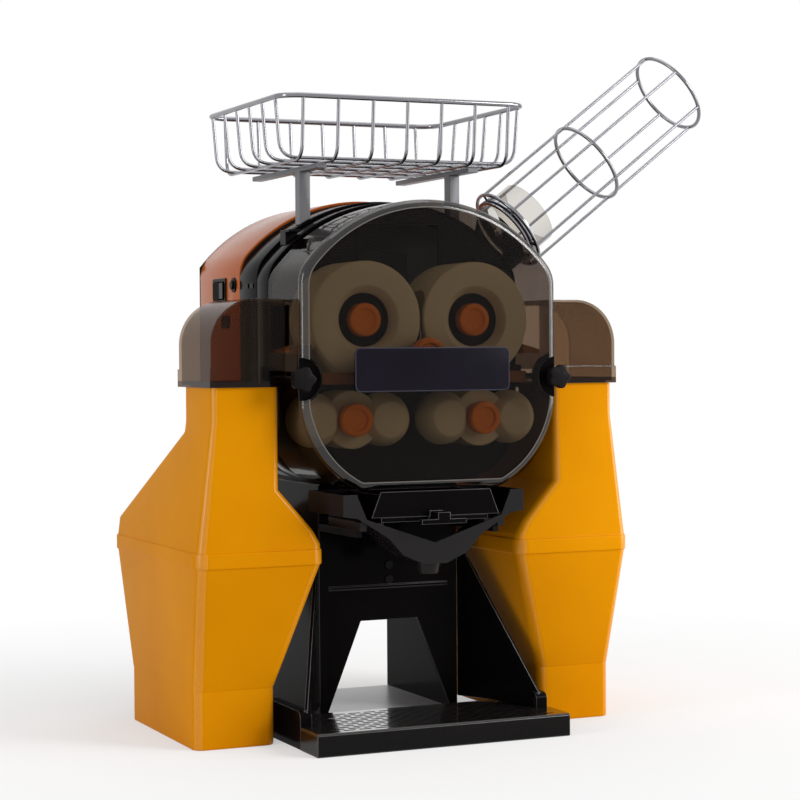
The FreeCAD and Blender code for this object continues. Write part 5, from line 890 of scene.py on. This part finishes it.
# CAD nodes that keep their shape: each one's finish, slot and softened edge
looks = {
    "side_cover_left": ("smokedLid", "smoked_plastic", 1.2),
    "side_cover_right": ("smokedLid", "smoked_plastic", 1.2),
    "rear_panel": ("blackSatin", "black_plastic", 0.6),
    "chamber_back_plate": ("blackSatin", "black_plastic", 0.5),
    "gear_plates": ("darkBox", "grey_metal", 0), "shaft_bushings": ("steel", "steel", 0.4),
    "knife_holder": ("blackSatin", "black_plastic", 0.8), "knife": ("steel", "steel", 0.2),
    "front_bar": ("brownNylon", "brown_plastic", 0.8),
    "peel_ejectors": ("brownNylon", "brown_plastic", 0.6),
    "feed_neck": ("clearNeck", "smoked_plastic", 0.5),
    "orange_chute": ("blackSatin", "black_plastic", 0.3),
    "basket_stand": ("greyPaint", "grey_metal", 0.8),
    "base_plate": ("paleEnamel", "light_metal", 1.2), "rubber_feet": ("rubber", "rubber", 1.0),
    "stand_panel": ("blackAbs", "black_plastic", 0.8),
    "stand_screws": ("blackSatin", "steel", 0.6),
    "stand_sides": ("blackAbs", "black_plastic", 0.6),
    "tank_runners": ("blackSatin", "black_plastic", 0.5),
    "stand_wings": ("blackAbs", "black_plastic", 1.0),
    "switch_bezels": ("blackSatin", "black_plastic", 0.5),
    "side_lamps": ("darkWindow", "dark_window", 0.3),
    "cover_sensor": ("blackSatin", "black_plastic", 0.6),
    "mains_inlet": ("blackSatin", "black_plastic", 0.4),
    "panel_screws": ("steel", "steel", 0.5), "gear_motor": ("darkBox", "dark_box", 0.8),
    "control_box": ("darkBox", "dark_box", 1.0), "motor_pinion": ("steel", "steel", 0),
    "cover_brackets": ("blackAbs", "black_plastic", 0.5),
    "juice_tank": ("tankAbs", "black_plastic", 0.7),
    "filter_drawer": ("blackAbs", "black_plastic", 0.7),
    "filter_mesh": ("steel", "steel", 0), "drip_tray": ("trayAbs", "black_plastic", 1.5),
    "drip_grid": ("gridAbs", "black_plastic", 0),
    "rocker_switch": ("blackAbs", "black_plastic", 0.5),
    "stop_button": ("blackSatin", "orange_knob", 1.0),
    "upper_shaft_left": ("steel", "steel", 0), "upper_shaft_right": ("steel", "steel", 0),
    "lower_shaft_left": ("steel", "steel", 0), "lower_shaft_right": ("steel", "steel", 0)}
skins = {node: dressed(node, *settings) for node, settings in looks.items()}

# the neck is clear only outside the body, and the lids have a double wall at the foot
doubleWall = 13
parted(skins["feed_neck"], feedPoint(-feed["neckClear"]), feedPoint(1) - feedPoint(0),
       "blackSatin")
for name in ("side_cover_left", "side_cover_right"):
    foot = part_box(name)[0][2] / mm
    parted(skins[name], np.array([0, 0, foot + doubleWall]), np.array([0, 0, 1]), "smokedBand")
print("CAD nodes dressed:", len(looks))


# Studio: pale floor that turns white outwards, soft lamps, the photograph's camera
studio = {"floorRadius": 6.0, "whiteFrom": 0.35, "whiteTo": 1.3, "nearGlow": 0.45,
          "boardGrain": 4, "ambient": 0.38}
# each lamp's place, the point it aims at, its width and height in metres, and its watts
lamps = {"keyLight": ((1.9, -2.2, 1.6), (0.05, 0, 0.4), (1.0, 1.2), 43),
         "topLight": ((0, 0.2, 2.6), (0, 0, 0.4), (1.8, 1.8), 16),
         "rightBox": ((2.3, -1.0, 0.9), (0.1, 0, 0.45), (1.5, 1.6), 30),
         "leftBox": ((-2.1, -0.5, 0.7), (-0.1, 0, 0.45), (0.5, 1.6), 12)}
for name, (place, aim, size, power) in lamps.items():
    lamp = bpy.data.lights.new(name, "AREA")
    lamp.shape, lamp.size, lamp.size_y, lamp.energy = "RECTANGLE", *size, power
    holder = bpy.data.objects.new(name, lamp)
    bpy.context.collection.objects.link(holder)
    holder.location = place
    holder.rotation_mode = "QUATERNION"
    holder.rotation_quaternion = (Vector(aim) - Vector(place)).to_track_quat("-Z", "Y")

turn = np.linspace(0, 2 * np.pi, 96, endpoint=False)
ring = np.stack([np.cos(turn), np.sin(turn), np.zeros(96)], -1) * studio["floorRadius"] / mm
floor = makeMesh("studioFloor", (ring, [list(range(96))]))
material, tree, place, out = startMaterial("painted board, matt white")
middle = add(tree, "ShaderNodeVectorMath", {"operation": "LENGTH"}, {0: place})
fade = span(tree, middle.outputs["Value"], studio["whiteFrom"], studio["whiteTo"],
            studio["nearGlow"], 1.0)
grain = add(tree, "ShaderNodeTexNoise", {"Scale": 1 / (studio["boardGrain"] * mm)},
            {"Vector": place})
board = add(tree, "ShaderNodeBsdfDiffuse", {"Roughness": 0.5},
            {"Color": between(tree, grain.outputs["Fac"], "#F6F6F6", "#F2F2F2")})
glow = add(tree, "ShaderNodeEmission", {"Color": "#FFFFFF", "Strength": 1.0})
ray = add(tree, "ShaderNodeLightPath")
seen = add(tree, "ShaderNodeMath", {"operation": "MAXIMUM"},
           {0: ray.outputs["Is Camera Ray"], 1: ray.outputs["Is Glossy Ray"]})
seenAll = add(tree, "ShaderNodeMath", {"operation": "MAXIMUM"},
              {0: seen.outputs[0], 1: ray.outputs["Is Transmission Ray"]})
share = add(tree, "ShaderNodeMath", {"operation": "MULTIPLY"}, {0: seenAll.outputs[0], 1: fade})
mixed = add(tree, "ShaderNodeMixShader", None, {0: share.outputs[0], 1: board.outputs["BSDF"],
                                                2: glow.outputs["Emission"]})
tree.links.new(mixed.outputs["Shader"], out.inputs["Surface"])
floor.data.materials.append(material)

world = bpy.data.worlds.new("studioRoom")
bpy.context.scene.world = world
world.use_nodes = True
tree = world.node_tree
tree.nodes.clear()
ray = add(tree, "ShaderNodeLightPath")
seen = add(tree, "ShaderNodeMath", {"operation": "MAXIMUM"},
           {0: ray.outputs["Is Camera Ray"], 1: ray.outputs["Is Transmission Ray"]})
seenAll = add(tree, "ShaderNodeMath", {"operation": "MAXIMUM"},
              {0: seen.outputs[0], 1: ray.outputs["Is Glossy Ray"]})
strength = span(tree, seenAll.outputs[0], 0, 1, studio["ambient"], 1.0)
room = add(tree, "ShaderNodeBackground", {"Color": "#FFFFFF"}, {"Strength": strength})
tree.links.new(room.outputs["Background"], add(tree, "ShaderNodeOutputWorld").inputs["Surface"])

bpy.context.scene.view_settings.view_transform = "Standard"

view = {"place": (-1.06995, -2.38737, 0.46567), "right": (0.91246, -0.409108, -0.006896),
        "up": (0.015511, 0.017745, 0.999722), "ahead": (0.408872, 0.912313, -0.022537),
        "lens": 95.749, "sensor": 36.0}
lens = bpy.data.cameras.new("photoCamera")
lens.lens, lens.sensor_width, lens.sensor_fit = view["lens"], view["sensor"], "HORIZONTAL"
lens.clip_start, lens.clip_end = 0.05, 60
camera = bpy.data.objects.new("photoCamera", lens)
bpy.context.collection.objects.link(camera)
turned = Matrix([view["right"], view["up"], [-v for v in view["ahead"]]]).transposed().to_4x4()
camera.matrix_world = Matrix.Translation(view["place"]) @ turned
bpy.context.scene.camera = camera
print("studio and camera made")
